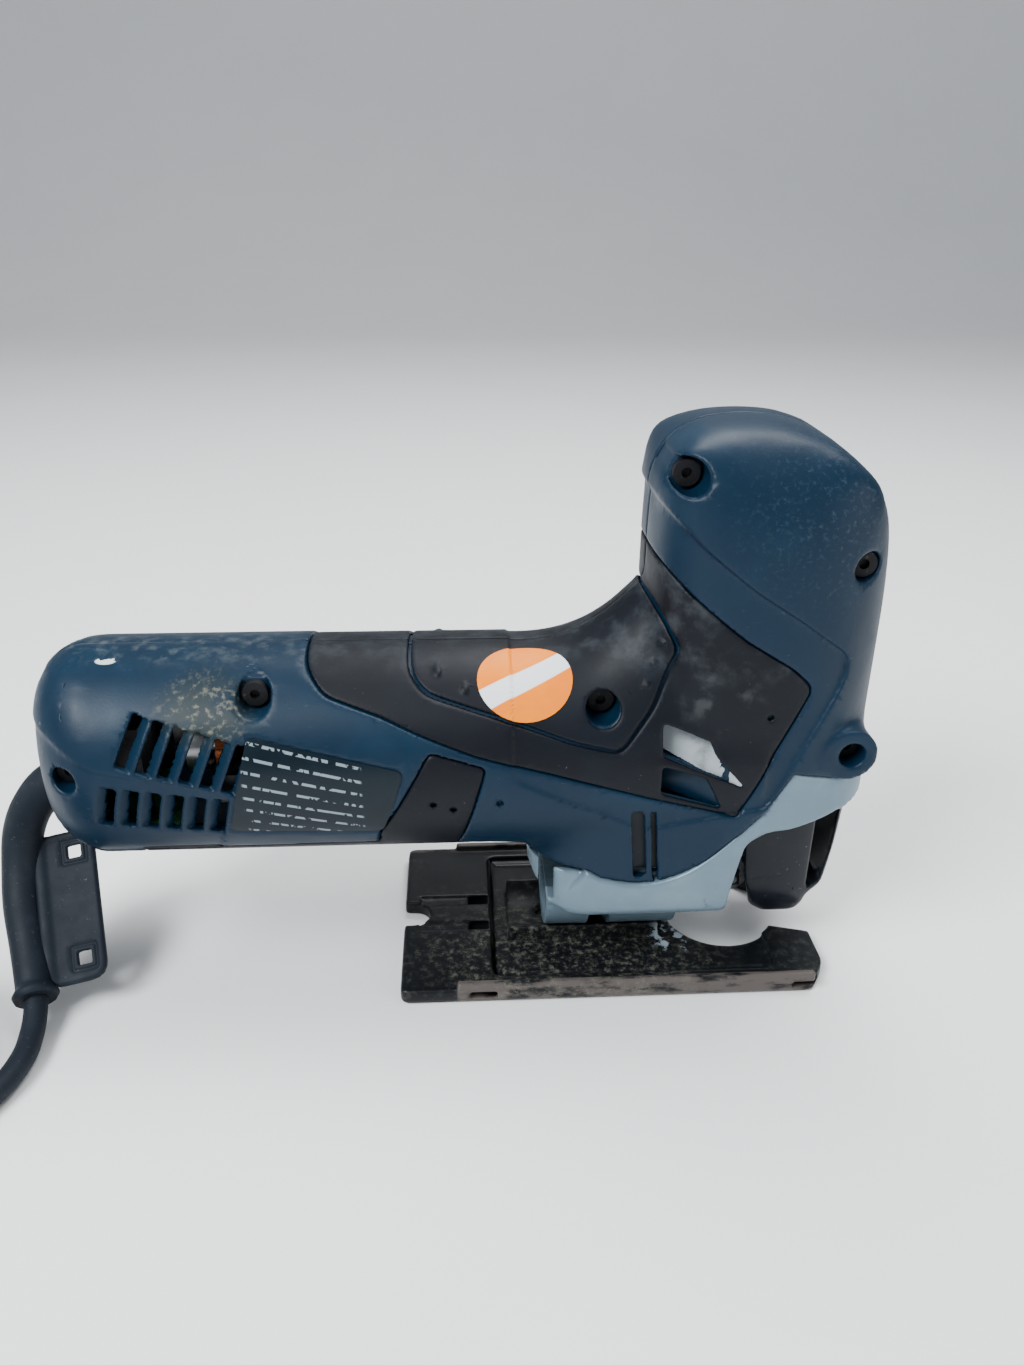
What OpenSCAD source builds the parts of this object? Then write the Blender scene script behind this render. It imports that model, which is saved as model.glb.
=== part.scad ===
// Barrel-grip jigsaw with a mains lead, in millimetres.
// +X points to the blade end, +Y to the tool's left, +Z up.
// The origin is on the sole's underside, below the blade axis.

/* [Housing] */
// Radius of the motor barrel
barrel_r = 34.5; // [34:0.1:36]
// Height of the barrel's axis above the sole
barrel_z = 77; // [76:0.5:78]
// Rear end of the barrel
barrel_rear = -236; // [-240:1:-234]
// Rounding of the barrel's rear edge
rear_round = 17; // [12:1:20]
// Half width of the head column
head_half_w = 34.5; // [34:0.1:36]
// Height of the top of the head
head_top = 181.5; // [178:0.5:186]
// Wall of the moulded shells
wall = 2.8; // [2:0.1:3]
// Thickness of the soft grip skin
skin_t = 1.2; // [0.8:0.1:1.6]

/* [Sole] */
// Rear edge of the sole plate
plate_rear = -126.5; // [-130:0.5:-124]
// Front edge of the sole plate
plate_front = 14.8; // [14:0.2:18]
// Half width of the sole plate
plate_half_w = 40; // [38:0.5:42]
// Thickness of the plate's raised rim
rim_t = 5; // [4.5:0.1:5.5]
// Thickness of the plate's sunk floor
floor_t = 3; // [2.6:0.1:3.2]
// Height of the tilt axis
tilt_z = 27; // [27:0.5:28]
// Radius of the foot's keel that the plate tilts about
keel_r = 22; // [21.8:0.1:22]

/* [Drive] */
// Half of the blade stroke, which is the throw of the eccentric pin
throw_r = 13; // [12:0.5:13]
// Teeth on the motor pinion
pinion_teeth = 9; // [9:1:9]
// Teeth on the drive gear
gear_teeth = 58; // [58:1:58]
// Gear module
gear_mod = 0.8; // [0.8:0.1:0.8]
// Radius of the plunger
plunger_r = 5; // [4.8:0.1:5]
// Radial running clearance of shafts in bushes
run_gap = 0.05; // [0.02:0.01:0.08]

/* [Lead] */
// Diameter of the mains lead
cord_d = 7.2; // [7:0.1:7.4]
// Mean radius of the outer turns of the stored coil
coil_outer_turn = 46.8; // [46:0.1:48]
// Layers in the stored coil
coil_layers = 4; // [4:1:5]
// Centre of the stored coil
coil_at = [-310, -85];

/* [Hidden] */
$fn = 64;
skin_gap = 0.06;
gear_gap_z = gear_mod * (pinion_teeth + gear_teeth) / 2;
gear_z = barrel_z + gear_gap_z;
gear_x = [-39, -31];
stack_x = [-150, -108];
roller_at = [-11.4, 20.5];
fork_at = [-29.5, 48];
coil_in = coil_outer_turn - 1.5 * cord_d;
coil_out = coil_outer_turn + cord_d / 2;
coil_h = coil_layers * cord_d;
plug_z = coil_h + 9.5;

// Outlines in the X-Z plane, anticlockwise
head_side = [[-20, 43], [5, 46], [20, 50], [24, 58], [24.5, 70], [24.5, 90], [24, 105],
    [23.5, 122], [21.5, 139], [17.5, 154.5], [10, 167], [0, 176], [-12, 180.5],
    [-24, head_top], [-36, 179.5], [-45, 174], [-49.5, 164], [-51, 150], [-51, 43]];
band_side = [[-80, 122], [-152, 120], [-152, 108], [-146, 103], [-129, 98], [-117, 93],
    [-101, 87], [-79, 81], [-50, 72], [-21, 64], [-9, 91], [-3, 107], [-8, 113], [-24, 123],
    [-38, 134], [-50, 145]];
pad_side = [[-119, 114], [-121, 108], [-116, 103], [-93, 97], [-72, 90], [-58, 87],
    [-48, 100], [-41, 117], [-46, 126], [-56, 140], [-80, 120]];
belly_side = [[-86, 40], [-86, 48], [-107, 50], [-98, 84], [-115, 89], [-131, 60],
    [-131, 50], [-206, 48], [-206, 40]];
foot_side = [[-84, 27], [-24, 27], [-19, 40], [-17, 54], [-3, 57], [9, 61], [24, 66],
    [24, 76], [11, 75], [-5, 79], [-12, 67], [-21, 58], [-26, 51], [-37, 43], [-50, 39],
    [-62, 41], [-74, 45], [-84, 38]];
// The wide foot of the shells, where they flank the gear housing
flank_side = [[-84, 39], [20, 39], [20, 84], [-84, 84]];
label_side = [[-176, 62.5], [-129, 60], [-121, 84], [-168, 95]];

// The mains lead's route where it isn't coiled
lead_route = [[-239.7, -41.4, 8.5], [-238.6, -47, 6], [-238, -53, 4.2], [-237.6, -60, 3.8],
    [-239, -69, 3.8], [-243, -78, 3.8], [-249, -88, 3.8], [-257, -99, 3.8],
    [-268, -110, 3.8], [-280, -119.5, 3.8], [-294, -127, 3.8], [-310, -132, 3.8]];
// The bend protector's own line, from the housing to the lead
sleeve_route = [[-226, 0, 66], [-238, -0.5, 63], [-246, -1.5, 55], [-250, -3.5, 46],
    [-250.5, -9, 36], [-249, -17, 27], [-245.5, -26, 18.5], [-242, -35, 12],
    [-239.7, -41.4, 8.5]];
sleeve_r = [8, 7.4, 6.8, 6.5, 6.3, 6.1, 6, 5.9, 5.8];

// ---------- helpers ----------

function edge_normal(p, q) = let (d = q - p) [d[1], -d[0]] / norm(d);
// Moves an anticlockwise outline inwards by o
function inset(pts, o) = [for (i = [0 : len(pts) - 1])
    let (n = len(pts), a = edge_normal(pts[(i + n - 1) % n], pts[i]),
        b = edge_normal(pts[i], pts[(i + 1) % n]))
    pts[i] - o * (a + b) / (1 + a * b)];
function superellipse(a, b, e, n) = [for (i = [0 : n - 1]) let (t = 360 * i / n)
    [a * sign(cos(t)) * pow(abs(cos(t)), 2 / e), b * sign(sin(t)) * pow(abs(sin(t)), 2 / e)]];

// Extrudes an X-Z outline from y0 to y1
module side_slab(pts, y0, y1) {
    translate([0, y1, 0]) rotate([90, 0, 0]) linear_extrude(y1 - y0) polygon(pts);
}

// A cylinder along +X from x0
module x_rod(x0, length, r, y = 0, z = barrel_z) {
    translate([x0, y, z]) rotate([0, 90, 0]) cylinder(h = length, r = r);
}

// A cylinder along +Y from y0
module y_rod(x, z, y0, length, r) {
    translate([x, y0, z]) rotate([-90, 0, 0]) cylinder(h = length, r = r);
}

module z_rod(x, y, z0, length, r) {
    translate([x, y, z0]) cylinder(h = length, r = r);
}

module block(lo, hi) {
    translate(lo) cube(hi - lo);
}

// ---------- housing ----------

module barrel_solid(o) {
    r = barrel_r - o;
    rr = rear_round - o;
    translate([0, 0, barrel_z]) rotate([0, 90, 0]) rotate_extrude()
        polygon(concat([[0, barrel_rear + o]],
            [for (t = [0 : 10 : 90]) [r - rr + rr * sin(t), barrel_rear + o + rr - rr * cos(t)]],
            [[r, -13], [0, -13]]));
}

module column_solid(o) {
    w = head_half_w - o;
    intersection() {
        side_slab(inset(head_side, o), -40, 40);
        translate([-13, 0, 30]) linear_extrude(160)
            polygon(superellipse(38 - o, w, 2.6, 44));
        translate([-60, 0, 0]) rotate([90, 0, 90]) linear_extrude(100)
            polygon(concat([[-w, 30], [w, 30]], [for (t = [0 : 15 : 180])
                [w * sign(cos(t)) * pow(abs(cos(t)), 0.83),
                138 + (head_top + 1 - 138 - o) * pow(sin(t), 0.83)]]));
    }
}

module neck_solid(o) {
    translate([-75, 0, barrel_z - 4]) rotate([0, 45, 0]) cylinder(h = 92, r = 24 - o);
}

module flank_solid(o) {
    intersection() {
        side_slab(inset(flank_side, o), -40, 40);
        translate([-30, 0, 20]) linear_extrude(80) polygon(superellipse(54 - o, 32.6 - o, 3.2, 44));
    }
}

// The tool's outer form, taken in by o
module outer_form(o) {
    barrel_solid(o);
    flank_solid(o);
    column_solid(o);
    neck_solid(o);
}

module screw_well(x, z, y, r) {
    y_rod(x, z, -40, 40 + y, r);
}

// Where the shells are held together: x, z, depth of the well's floor, and well radius
wells = [[-166, 103, -17, 5], [-63, 99, -17, 5], [-42, 168, -16, 5], [9.5, 143, -22, 4.5],
    [-222, 81, -22, 4], [13, 84, -22, 4]];
// Radius of the pillars behind the wells, and of the screws' holes
boss_r = 3;
hole_r = 2.1;
// Opening of the slide switch in the left shell
switch_lo = [-122, 25, 79];
switch_hi = [-96, 45, 92];

module intake_slots() {
    for (i = [0 : 5]) translate([-199.5 + 6 * i, -40, 99 - 1.6 * i]) rotate([0, 22, 0])
        translate([-1.6, 0, -12]) cube([3.2, 18, 12]);
    for (i = [0 : 5]) translate([-208 + 6.4 * i, -40, 79 - 0.9 * i]) rotate([0, 14, 0])
        translate([-1.5, 0, -12]) cube([3, 18, 12]);
}

module outlet_slots() {
    block([-53, -40, 42], [-49.4, -22, 66]);
    block([-46.4, -40, 42], [-45, -22, 64.5]);
}

// One shell, cut for its neighbours; the right one has the open screw wells
module half_shell(open_wells) {
    difference() {
        intersection() {
            outer_form(0);
            block([-260, -45, 20], [40, -0.05, 200]);
        }
        difference() {
            outer_form(wall);
            for (w = wells) {
                y_rod(w[0], w[1], -36, 38 + w[2], w[3] + 1.6);
                y_rod(w[0], w[1], -36, 36, boss_r);
            }
        }
        if (open_wells) for (w = wells) screw_well(w[0], w[1], w[2], w[3]);
        for (w = wells) y_rod(w[0], w[1], open_wells ? -40 : -12, 41, hole_r);
        intake_slots();
        outlet_slots();
        side_slab(foot_side, -45, 1);
        block([-90, -28.8, 20], [-17, 1, 43.3]);
        block([-62, -28.8, 40], [-12, 1, 66]);
        // room for the blade hood
        side_slab([[-20, 20], [40, 20], [40, 70], [24, 69], [9, 64], [-3, 60], [-17, 57], [-20, 50]],
            -45, 1);
        difference() {
            side_slab(band_side, -45, 1);
            outer_form(skin_t);
        }
        difference() {
            side_slab(belly_side, -45, 1);
            outer_form(skin_t);
        }
        x_rod(-240, 20, 8.4, 0, 65);
    }
}

module right_housing() {
    color("#1c4058") half_shell(true);
}

module left_housing() {
    color("#1c4058") difference() {
        mirror([0, 1, 0]) half_shell(false);
        block(switch_lo, switch_hi);
        block([-216.6, 17, 88], [-209.4, 45, 107]);
        y_rod(-70, 62, 20, 25, 8.4);
    }
}

module grip_skin() {
    difference() {
        intersection() {
            outer_form(0);
            side_slab(inset(band_side, 0.1), -45, -0.05);
        }
        outer_form(skin_t - skin_gap);
        side_slab(pad_side, -45, 0);
        for (w = wells) screw_well(w[0], w[1], w[2], w[3]);
    }
}

module right_grip_skin() {
    color("#161e2a") grip_skin();
}

module left_grip_skin() {
    color("#161e2a") difference() {
        mirror([0, 1, 0]) grip_skin();
        block(switch_lo, switch_hi);
    }
}

module grip_pad() {
    difference() {
        intersection() {
            outer_form(0);
            side_slab(inset(pad_side, 0.15), -45, -0.05);
        }
        outer_form(skin_t - skin_gap);
        for (w = wells) screw_well(w[0], w[1], w[2], w[3]);
    }
}

module right_grip_pad() {
    color("#1a2230") grip_pad();
}

module left_grip_pad() {
    color("#1a2230") mirror([0, 1, 0]) grip_pad();
}

module belly_strip() {
    color("#161e2a") difference() {
        intersection() {
            outer_form(0);
            side_slab(inset(belly_side, 0.1), -45, 45);
        }
        outer_form(skin_t - skin_gap);
        side_slab(foot_side, -45, 45);
        block(switch_lo, switch_hi);
    }
}

module rating_plate() {
    color("#22303a") intersection() {
        difference() {
            barrel_solid(-0.3);
            barrel_solid(0);
        }
        side_slab(label_side, -45, -20);
    }
}

module round_sticker() {
    color("#f5a520") intersection() {
        difference() {
            barrel_solid(-0.3);
            barrel_solid(0);
        }
        translate([-86, 0, barrel_z]) rotate([58, 0, 0]) cylinder(h = 50, r = 13.5);
    }
}

// ---------- gear housing, foot and sole ----------

// The foot's section across the tool: a round keel between two skirts
foot_section = concat([for (t = [-180 : 10 : 0]) [keel_r * cos(t), tilt_z + keel_r * sin(t)]],
    [[29, 29], [30.5, 45], [31, 90], [-31, 90], [-30.5, 45], [-29, 29]]);

module gear_housing() {
    color("#93a5b0") {
        difference() {
            intersection() {
                side_slab(concat([[-84, 4], [-34, 4], [-34, 27]],
                    [for (i = [1 : len(foot_side) - 1]) foot_side[i]]), -32, 32);
                translate([-90, 0, 0]) rotate([90, 0, 90]) linear_extrude(120) polygon(foot_section);
                translate([-30, 0, 0]) linear_extrude(90) polygon(superellipse(55, 33.2, 3.2, 44));
            }
            // keel hollow with the slot that the clamp screw swings in
            x_rod(-78, 38, 17.9, 0, tilt_z);
            difference() {
                x_rod(-63.4, 6.8, 30, 0, tilt_z);
                x_rod(-70, 20, 15, 0, tilt_z);
                block([-70, -31, tilt_z - 9], [-50, 31, 80]);
            }
            // inside of the skirts above the keel
            block([-80, -27.5, tilt_z + 2.3], [-26, 27.5, 90]);
            // blade bay
            block([-34, -27, 20], [-16, 27, 90]);
            intersection() {
                block([-18, -27.5, 50], [40, 27.5, 90]);
                translate([-30, 0, 50]) linear_extrude(40) polygon(superellipse(51.6, 30, 3.2, 44));
            }
            block([-20, -15, 50], [30, 15, 71]);
        }
        // bulkhead with the seats of the motor bearing and of the gear's axle
        difference() {
            union() {
                block([-54, -28.5, 36], [-45, 28.5, 60]);
                block([-54, -24, 60], [-45, 24, 96]);
                x_rod(-54, 9, 12.5, 0, gear_z);
            }
            x_rod(-53, 9, 11, 0, barrel_z);
            x_rod(-55, 12, 9, 0, barrel_z);
            x_rod(-55, 12, 5, 0, gear_z);
        }
        // floor with the seat of the lower bush
        difference() {
            union() {
                block([-46, -28.5, 60], [-12.5, 28.5, 65]);
                block([-15, -28.5, 60], [-12, 28.5, 75]);
                intersection() {
                    block([-14, -29, 69], [21.6, 29, 75]);
                    translate([-30, 0, 60]) linear_extrude(20) polygon(superellipse(52.5, 30.9, 3.2, 44));
                }
                z_rod(0, 0, 70, 12, 14);
            }
            z_rod(0, 0, 55, 30, 8);
            for (s = [-1, 1]) z_rod(8.2, 9 * s, 72, 12, 1.6);
            // clear of the shells' lowest front pillar
            y_rod(13, 84, -20, 40, boss_r + 0.4);
        }
    }
}

module blade_hood() {
    color("#171c24") difference() {
        union() {
            side_slab([[-13, 34], [-6, 20], [3, 14.5], [10, 16], [18, 24], [22, 40], [23.4, 60.8],
                [9, 60.5], [-3, 56.5], [-15, 53.5]], -24, 24);
        }
        side_slab([[-20, 5], [5, 5], [6, 18.4], [9, 19], [16, 26], [19.6, 42], [20.6, 70], [-20, 70]],
            -21.5, 21.5);
        difference() {
            block([-20, -30, 0], [30, 30, 70]);
            translate([-20, 0, 0]) rotate([90, 0, 90]) linear_extrude(50)
                polygon([[-16, 14], [16, 14], [22, 24], [24, 30], [24, 65], [-24, 65], [-24, 30],
                    [-22, 24]]);
        }
        difference() {
            block([-20, -30, 0], [30, 30, 40]);
            translate([-8, 0, 0]) linear_extrude(45) polygon(superellipse(32, 22, 2.4, 40));
        }
    }
}

module bent_wire(points, r) {
    for (i = [0 : len(points) - 2]) {
        d = points[i + 1] - points[i];
        translate(points[i]) rotate([0, acos(d[2] / norm(d)), atan2(d[1], d[0])])
            cylinder(h = norm(d), r = r, $fn = 24);
    }
    for (i = [1 : len(points) - 2]) translate(points[i]) sphere(r = 1.04 * r, $fn = 24);
}

module guard_wire() {
    color("#2a3038") for (s = [-1, 1])
        bent_wire([[23, 3 * s, 52], [24.6, 8 * s, 38], [22.5, 12.5 * s, 24], [19, 13 * s, 14],
            [15, 13 * s, 13.5], [12.5, 13 * s, 20]], 0.9);
}

module sole_plate() {
    color("#1b1e22") difference() {
        union() {
            // floor and raised rim
            side_slab([[plate_rear, 0], [plate_front - 3, 0], [plate_front, 1.2],
                [plate_front, rim_t - 0.6], [plate_front - 1, rim_t], [plate_rear, rim_t]],
                -plate_half_w, plate_half_w);
            // turned-up edges
            for (s = [-1, 1]) block([-108, min(s * 37.6, s * plate_half_w), 1],
                [plate_front - 4, max(s * 37.6, s * plate_half_w), 7.2]);
            // saddle that hugs the keel
            block([-90, -14, 1], [-38, 14, 9]);
        }
        block([-96, -33, floor_t], [-90, 33, 12]);
        for (s = [-1, 1]) block([-90.1, min(14 * s, 33 * s), floor_t], [-2, max(14 * s, 33 * s), 12]);
        block([-38, -14.1, floor_t], [-2, 14.1, 12]);
        x_rod(-140, 170, keel_r + 0.4, 0, tilt_z);
        // blade bay, open to the front
        z_rod(-14, 0, -1, 20, 19.5);
        translate([0, 0, -1]) linear_extrude(20) polygon([[-1, -11], [16, -16], [16, 16], [-1, 11]]);
        // slot of the clamp screw, its shank above its sunk head
        block([-76.4, -3.3, -1], [-56.6, 3.3, 12]);
        for (x = [-76.4, -56.6]) z_rod(x, 0, -1, 20, 3.3);
        block([-76.4, -6.6, -1], [-56.6, 6.6, 3.1]);
        for (x = [-76.4, -56.6]) z_rod(x, 0, -1, 4.1, 6.6);
        // rear centre notch and the fence's slots
        block([-130, -6, -1], [-122, 6, 12]);
        for (x = [-104, 2]) block([x, -45, 1.4], [x + 9, 45, rim_t - 0.9]);
    }
}

module plate_clamp_block() {
    color("#8d9299") difference() {
        intersection() {
            x_rod(-68, 16, 17.5, 0, tilt_z);
            block([-68, -9, 0], [-52, 9, tilt_z - 11]);
        }
        z_rod(-60, 0, 0, 30, 3 + run_gap);
    }
}

module plate_clamp_screw() {
    color("#4a4d52") difference() {
        union() {
            z_rod(-60, 0, 0.4, 2.5, 5.4);
            z_rod(-60, 0, 2.8, 15, 3);
        }
        translate([-60, 0, 0]) cylinder(h = 2.4, r = 2.5, $fn = 6);
    }
}

// ---------- plunger, blade clamp and roller ----------

module plunger() {
    color("#c4c8cc") {
        difference() {
            union() {
                z_rod(0, 0, 46, 105, plunger_r);
                // yoke plate on the plunger's back
                block([-11, -20, gear_z - 7], [-4, 20, gear_z + 7]);
            }
            // blade's seat
            z_rod(0, 0, 40, 22, 3.6);
            // slot that the eccentric pin runs in
            block([-12, -16.7, gear_z - 3.7], [-5.9, 16.7, gear_z + 3.7]);
        }
    }
}

module blade_clamp() {
    color("#3a3f46") difference() {
        z_rod(0, 0, 42, 13, 9);
        z_rod(0, 0, 41, 20, 3.6);
        z_rod(0, 0, 46, 20, plunger_r);
    }
}

module clamp_lever() {
    color("#20242a") difference() {
        union() {
            z_rod(0, 0, 43, 9, 11.2);
            block([0, -12, 43], [8, -8.6, 52]);
        }
        z_rod(0, 0, 40, 20, 9 + run_gap);
    }
}

module roller_fork() {
    color("#5a6068") difference() {
        union() {
            for (s = [-1, 1]) side_slab([[-14, 17.5], [-8.6, 18], [-9, 24], [-15.5, 28], [-25, 51],
                [-34, 51], [-34, 45]],
                s > 0 ? 3.5 : -5.5, s > 0 ? 5.5 : -3.5);
            block([-34, -5.5, 45], [-24, 5.5, 51]);
        }
        y_rod(fork_at[0], fork_at[1], -10, 20, 2.5 + run_gap);
        y_rod(roller_at[0], roller_at[1], -10, 20, 1.5 + run_gap);
    }
}

module guide_roller() {
    color("#b9bec4") {
        difference() {
            y_rod(roller_at[0], roller_at[1], -3.1, 6.2, 6);
            translate([roller_at[0], 0, roller_at[1]]) rotate([-90, 0, 0]) rotate_extrude()
                polygon([[5, -0.8], [8, -1.1], [8, 1.1], [5, 0.8]]);
        }
        y_rod(roller_at[0], roller_at[1], -6.2, 12.4, 1.5);
    }
}

module fork_pivot_pin() {
    color("#9aa0a6") y_rod(fork_at[0], fork_at[1], -27.5, 55, 2.5);
}

module bush(z0, h) {
    difference() {
        z_rod(0, 0, z0, h, 8);
        z_rod(0, 0, z0 - 1, h + 2, plunger_r + run_gap);
    }
}

module lower_bush() {
    color("#b08d57") bush(69, 13);
}

module upper_bush() {
    color("#b08d57") bush(127, 11);
}

module guide_bracket() {
    color("#8b939b") difference() {
        union() {
            z_rod(0, 0, 127, 11, 11.5);
            block([6.6, -12, 82], [9.9, 12, 138]);
        }
        z_rod(0, 0, 120, 30, 8);
        for (s = [-1, 1]) z_rod(8.2, 9 * s, 81, 12, 1.6);
    }
}

module bracket_screws() {
    color("#7f858b") for (s = [-1, 1]) z_rod(8.2, 9 * s, 72.2, 18, 1.55);
}

// ---------- motor ----------

module armature_shaft() {
    color("#c9cdd1") {
        x_rod(-193, 154, 4);
        difference() {
            x_rod(gear_x[0], 8.4, gear_mod * (pinion_teeth + 2) / 2 - 0.1);
            for (i = [0 : pinion_teeth - 1]) translate([gear_x[0] - 0.1, 0, barrel_z])
                rotate([360 * (i + 0.5) / pinion_teeth, 0, 0])
                translate([0, 0, 4.1]) rotate([0, 90, 0]) cylinder(h = 12, r = 1);
        }
    }
}

module armature_core() {
    color("#6d7074") difference() {
        x_rod(stack_x[0], stack_x[1] - stack_x[0], 17);
        x_rod(stack_x[0] - 1, 60, 4);
        for (i = [0 : 11]) translate([-151, 0, barrel_z]) rotate([30 * i, 0, 0])
            translate([0, -1, 14.5]) cube([50, 2, 4]);
    }
}

module armature_windings() {
    color("#a4552a") difference() {
        union() {
            x_rod(stack_x[0] - 10, 9.9, 14.5);
            x_rod(stack_x[1] + 0.1, 9, 14.5);
        }
        x_rod(-170, 80, 4);
    }
}

module commutator() {
    color("#b87333") difference() {
        x_rod(-182, 20, 12);
        x_rod(-183, 22, 4);
        for (i = [0 : 23]) translate([-182.5, 0, barrel_z]) rotate([15 * i, 0, 0])
            translate([0, -0.25, 11.2]) cube([15, 0.5, 2]);
    }
}

module fan() {
    color("#2c3a44") difference() {
        union() {
            x_rod(-91, 2, 27);
            x_rod(-91, 12, 7);
            for (i = [0 : 12]) translate([-89, 0, barrel_z]) rotate([360 * i / 13, 0, 0])
                translate([0, -0.8, 12]) cube([9, 1.6, 14.6]);
        }
        x_rod(-95, 20, 4);
    }
}

module bearing(x0, w, ro) {
    difference() {
        x_rod(x0, w, ro);
        x_rod(x0 - 1, w + 2, 4 + run_gap);
        for (x = [x0 - 0.5, x0 + w - 1]) difference() {
            x_rod(x, 1.5, ro * 0.82);
            x_rod(x - 1, 4, ro * 0.56);
        }
    }
}

module front_bearing() {
    color("#aab0b6") bearing(-53, 7, 11);
}

module rear_bearing() {
    color("#aab0b6") bearing(-192, 6, 9.5);
}

module stator_core() {
    color("#5f6367") difference() {
        intersection() {
            x_rod(stack_x[0], 42, 29.5);
            block([-160, -25.5, 40], [-100, 25.5, 120]);
        }
        x_rod(-160, 60, 17.5);
        for (s = [-1, 1]) block([-160, 12 * s - 6, barrel_z - 20.5], [-100, 12 * s + 6, barrel_z - 15]);
        for (s = [-1, 1]) block([-160, 12 * s - 6, barrel_z + 15], [-100, 12 * s + 6, barrel_z + 20.5]);
    }
}

module field_windings() {
    color("#a4552a") for (x = [stack_x[0] - 9, stack_x[1] + 0.1], s = [-1, 1])
        intersection() {
            difference() {
                x_rod(x, 8.9, 25);
                x_rod(x - 1, 12, 17.5);
            }
            block([x, -18, barrel_z + (s > 0 ? 8 : -25)], [x + 9, 18, barrel_z + (s > 0 ? 25 : -8)]);
        }
}

module brush_holders() {
    color("#8a6d3b") for (s = [0, 180]) translate([0, 0, barrel_z]) rotate([s + 90, 0, 0]) difference() {
        block([-179, -4.6, 13], [-167, 4.6, 30]);
        block([-176.2, -3.1, 12], [-169.8, 3.1, 28.4]);
    }
}

module carbon_brushes() {
    color("#33363a") for (s = [0, 180]) translate([0, 0, barrel_z]) rotate([s + 90, 0, 0])
        block([-176.15, -3.05, 12.1], [-169.85, 3.05, 22]);
}

module brush_springs() {
    color("#b9a26a") for (s = [0, 180]) translate([0, 0, barrel_z]) rotate([s + 90, 0, 0])
        for (i = [0 : 4]) translate([-173, 0, 22.7 + 1.25 * i]) rotate_extrude(angle = 360)
            translate([2, 0]) circle(r = 0.65, $fn = 16);
}

// ---------- gear train ----------

module drive_gear() {
    rr = gear_mod * gear_teeth / 2;
    color("#9c9fa3") difference() {
        union() {
            x_rod(gear_x[0], 8, rr - 1, 0, gear_z);
            for (i = [0 : gear_teeth - 1]) translate([gear_x[0], 0, gear_z])
                rotate([360 * (i + 0.5) / gear_teeth, 0, 0])
                rotate([90, 0, 90]) linear_extrude(8) polygon([[-0.72, rr - 1.2], [0.72, rr - 1.2],
                    [0.28, rr + 0.35], [-0.28, rr + 0.35]]);
            // hub that rides on the axle, and the eccentric pin
            x_rod(gear_x[0] - 3, 3, 10, 0, gear_z);
            x_rod(gear_x[1] - 0.5, 19, 3.4, throw_r, gear_z);
        }
        x_rod(gear_x[0] - 5, 20, 5 + run_gap, 0, gear_z);
    }
}

module gear_axle() {
    color("#c4c8cc") x_rod(-55, 27, 5, 0, gear_z);
}

module balance_weight() {
    color("#77797d") difference() {
        intersection() {
            x_rod(gear_x[1], 3.4, 20, 0, gear_z);
            block([gear_x[1], -22, gear_z - 22], [gear_x[1] + 4, -1, gear_z + 22]);
        }
        x_rod(gear_x[1] - 1, 6, 7, 0, gear_z);
    }
}

// ---------- controls and electrics ----------

module orbit_selector() {
    color("#20262e") {
        y_rod(-70, 62, 24, 11, 8);
        block([-71.6, 34.9, 54.5], [-68.4, 38, 69.5]);
    }
}

module slide_switch() {
    color("#14181e") {
        block([-121.5, 34.8, 79.5], [-102.5, 37.3, 91.5]);
        block([-118, 32.4, 82], [-106, 34.8, 89]);
        for (i = [0 : 3]) block([-118 + 4 * i, 37.2, 80.5], [-116.4 + 4 * i, 38.1, 90.5]);
    }
}

module speed_dial() {
    color("#14181e") translate([-213, 21, 95.5]) difference() {
        rotate([90, 0, 90]) translate([0, 0, -2.8]) cylinder(h = 5.6, r = 9.2);
        for (i = [0 : 17]) rotate([20 * i, 0, 0]) translate([-4, -0.5, 8.7]) cube([8, 1, 2]);
    }
}

module switch_module() {
    color("#2b2b2b") block([-216, 1, 64], [-198, 20, 84]);
}

module control_board() {
    color("#2f5d3a") {
        block([-213, -20, 56], [-194, -0.5, 57.6]);
        block([-211, -16, 57.6], [-205, -8, 66]);
        block([-202, -15, 57.6], [-198, -5, 70]);
    }
}

module suppressor() {
    color("#b58a1e") block([-216, -20, 74], [-202, -3, 92]);
}

module housing_screws() {
    color("#585c60") for (w = wells) difference() {
        union() {
            y_rod(w[0], w[1], w[2] - 2.6, 2.6, min(3.8, w[3] - 0.4));
            y_rod(w[0], w[1], w[2] - 1, 11 - w[2], 1.9);
        }
        y_rod(w[0], w[1], w[2] - 3, 2.2, 1.5);
    }
}

// ---------- mains lead ----------

module lead_sleeve() {
    color("#222c38") {
        for (i = [0 : len(sleeve_route) - 2]) {
            a = sleeve_route[i];
            d = sleeve_route[i + 1] - a;
            translate(a) rotate([0, acos(d[2] / norm(d)), atan2(d[1], d[0])])
                cylinder(h = norm(d), r = sleeve_r[i + 1]);
        }
        for (i = [1 : len(sleeve_route) - 2]) translate(sleeve_route[i]) sphere(r = sleeve_r[i] + 0.12);
        // tab that holds the hex key
        translate([-245, -3, 42.5]) rotate([44, 0, 0]) rotate([0, 0, 12]) difference() {
            block([0, -48, -1.4], [16, 0, 1.4]);
            for (y = [-6.5, -41.5]) block([8.4, y - 1.9, -3], [12.2, y + 1.9, 3]);
        }
    }
}

module lead_clamp() {
    color("#1c2026") difference() {
        block([-226, -12, 52.6], [-216, 12, 54.4]);
        for (s = [-1, 1]) z_rod(-221, 9 * s, 50, 10, 1.5);
    }
}

module clamp_screws() {
    color("#7f858b") for (s = [-1, 1]) {
        z_rod(-221, 9 * s, 50, 5, 1.5);
        z_rod(-221, 9 * s, 54.4, 1.8, 2.8);
    }
}

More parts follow.
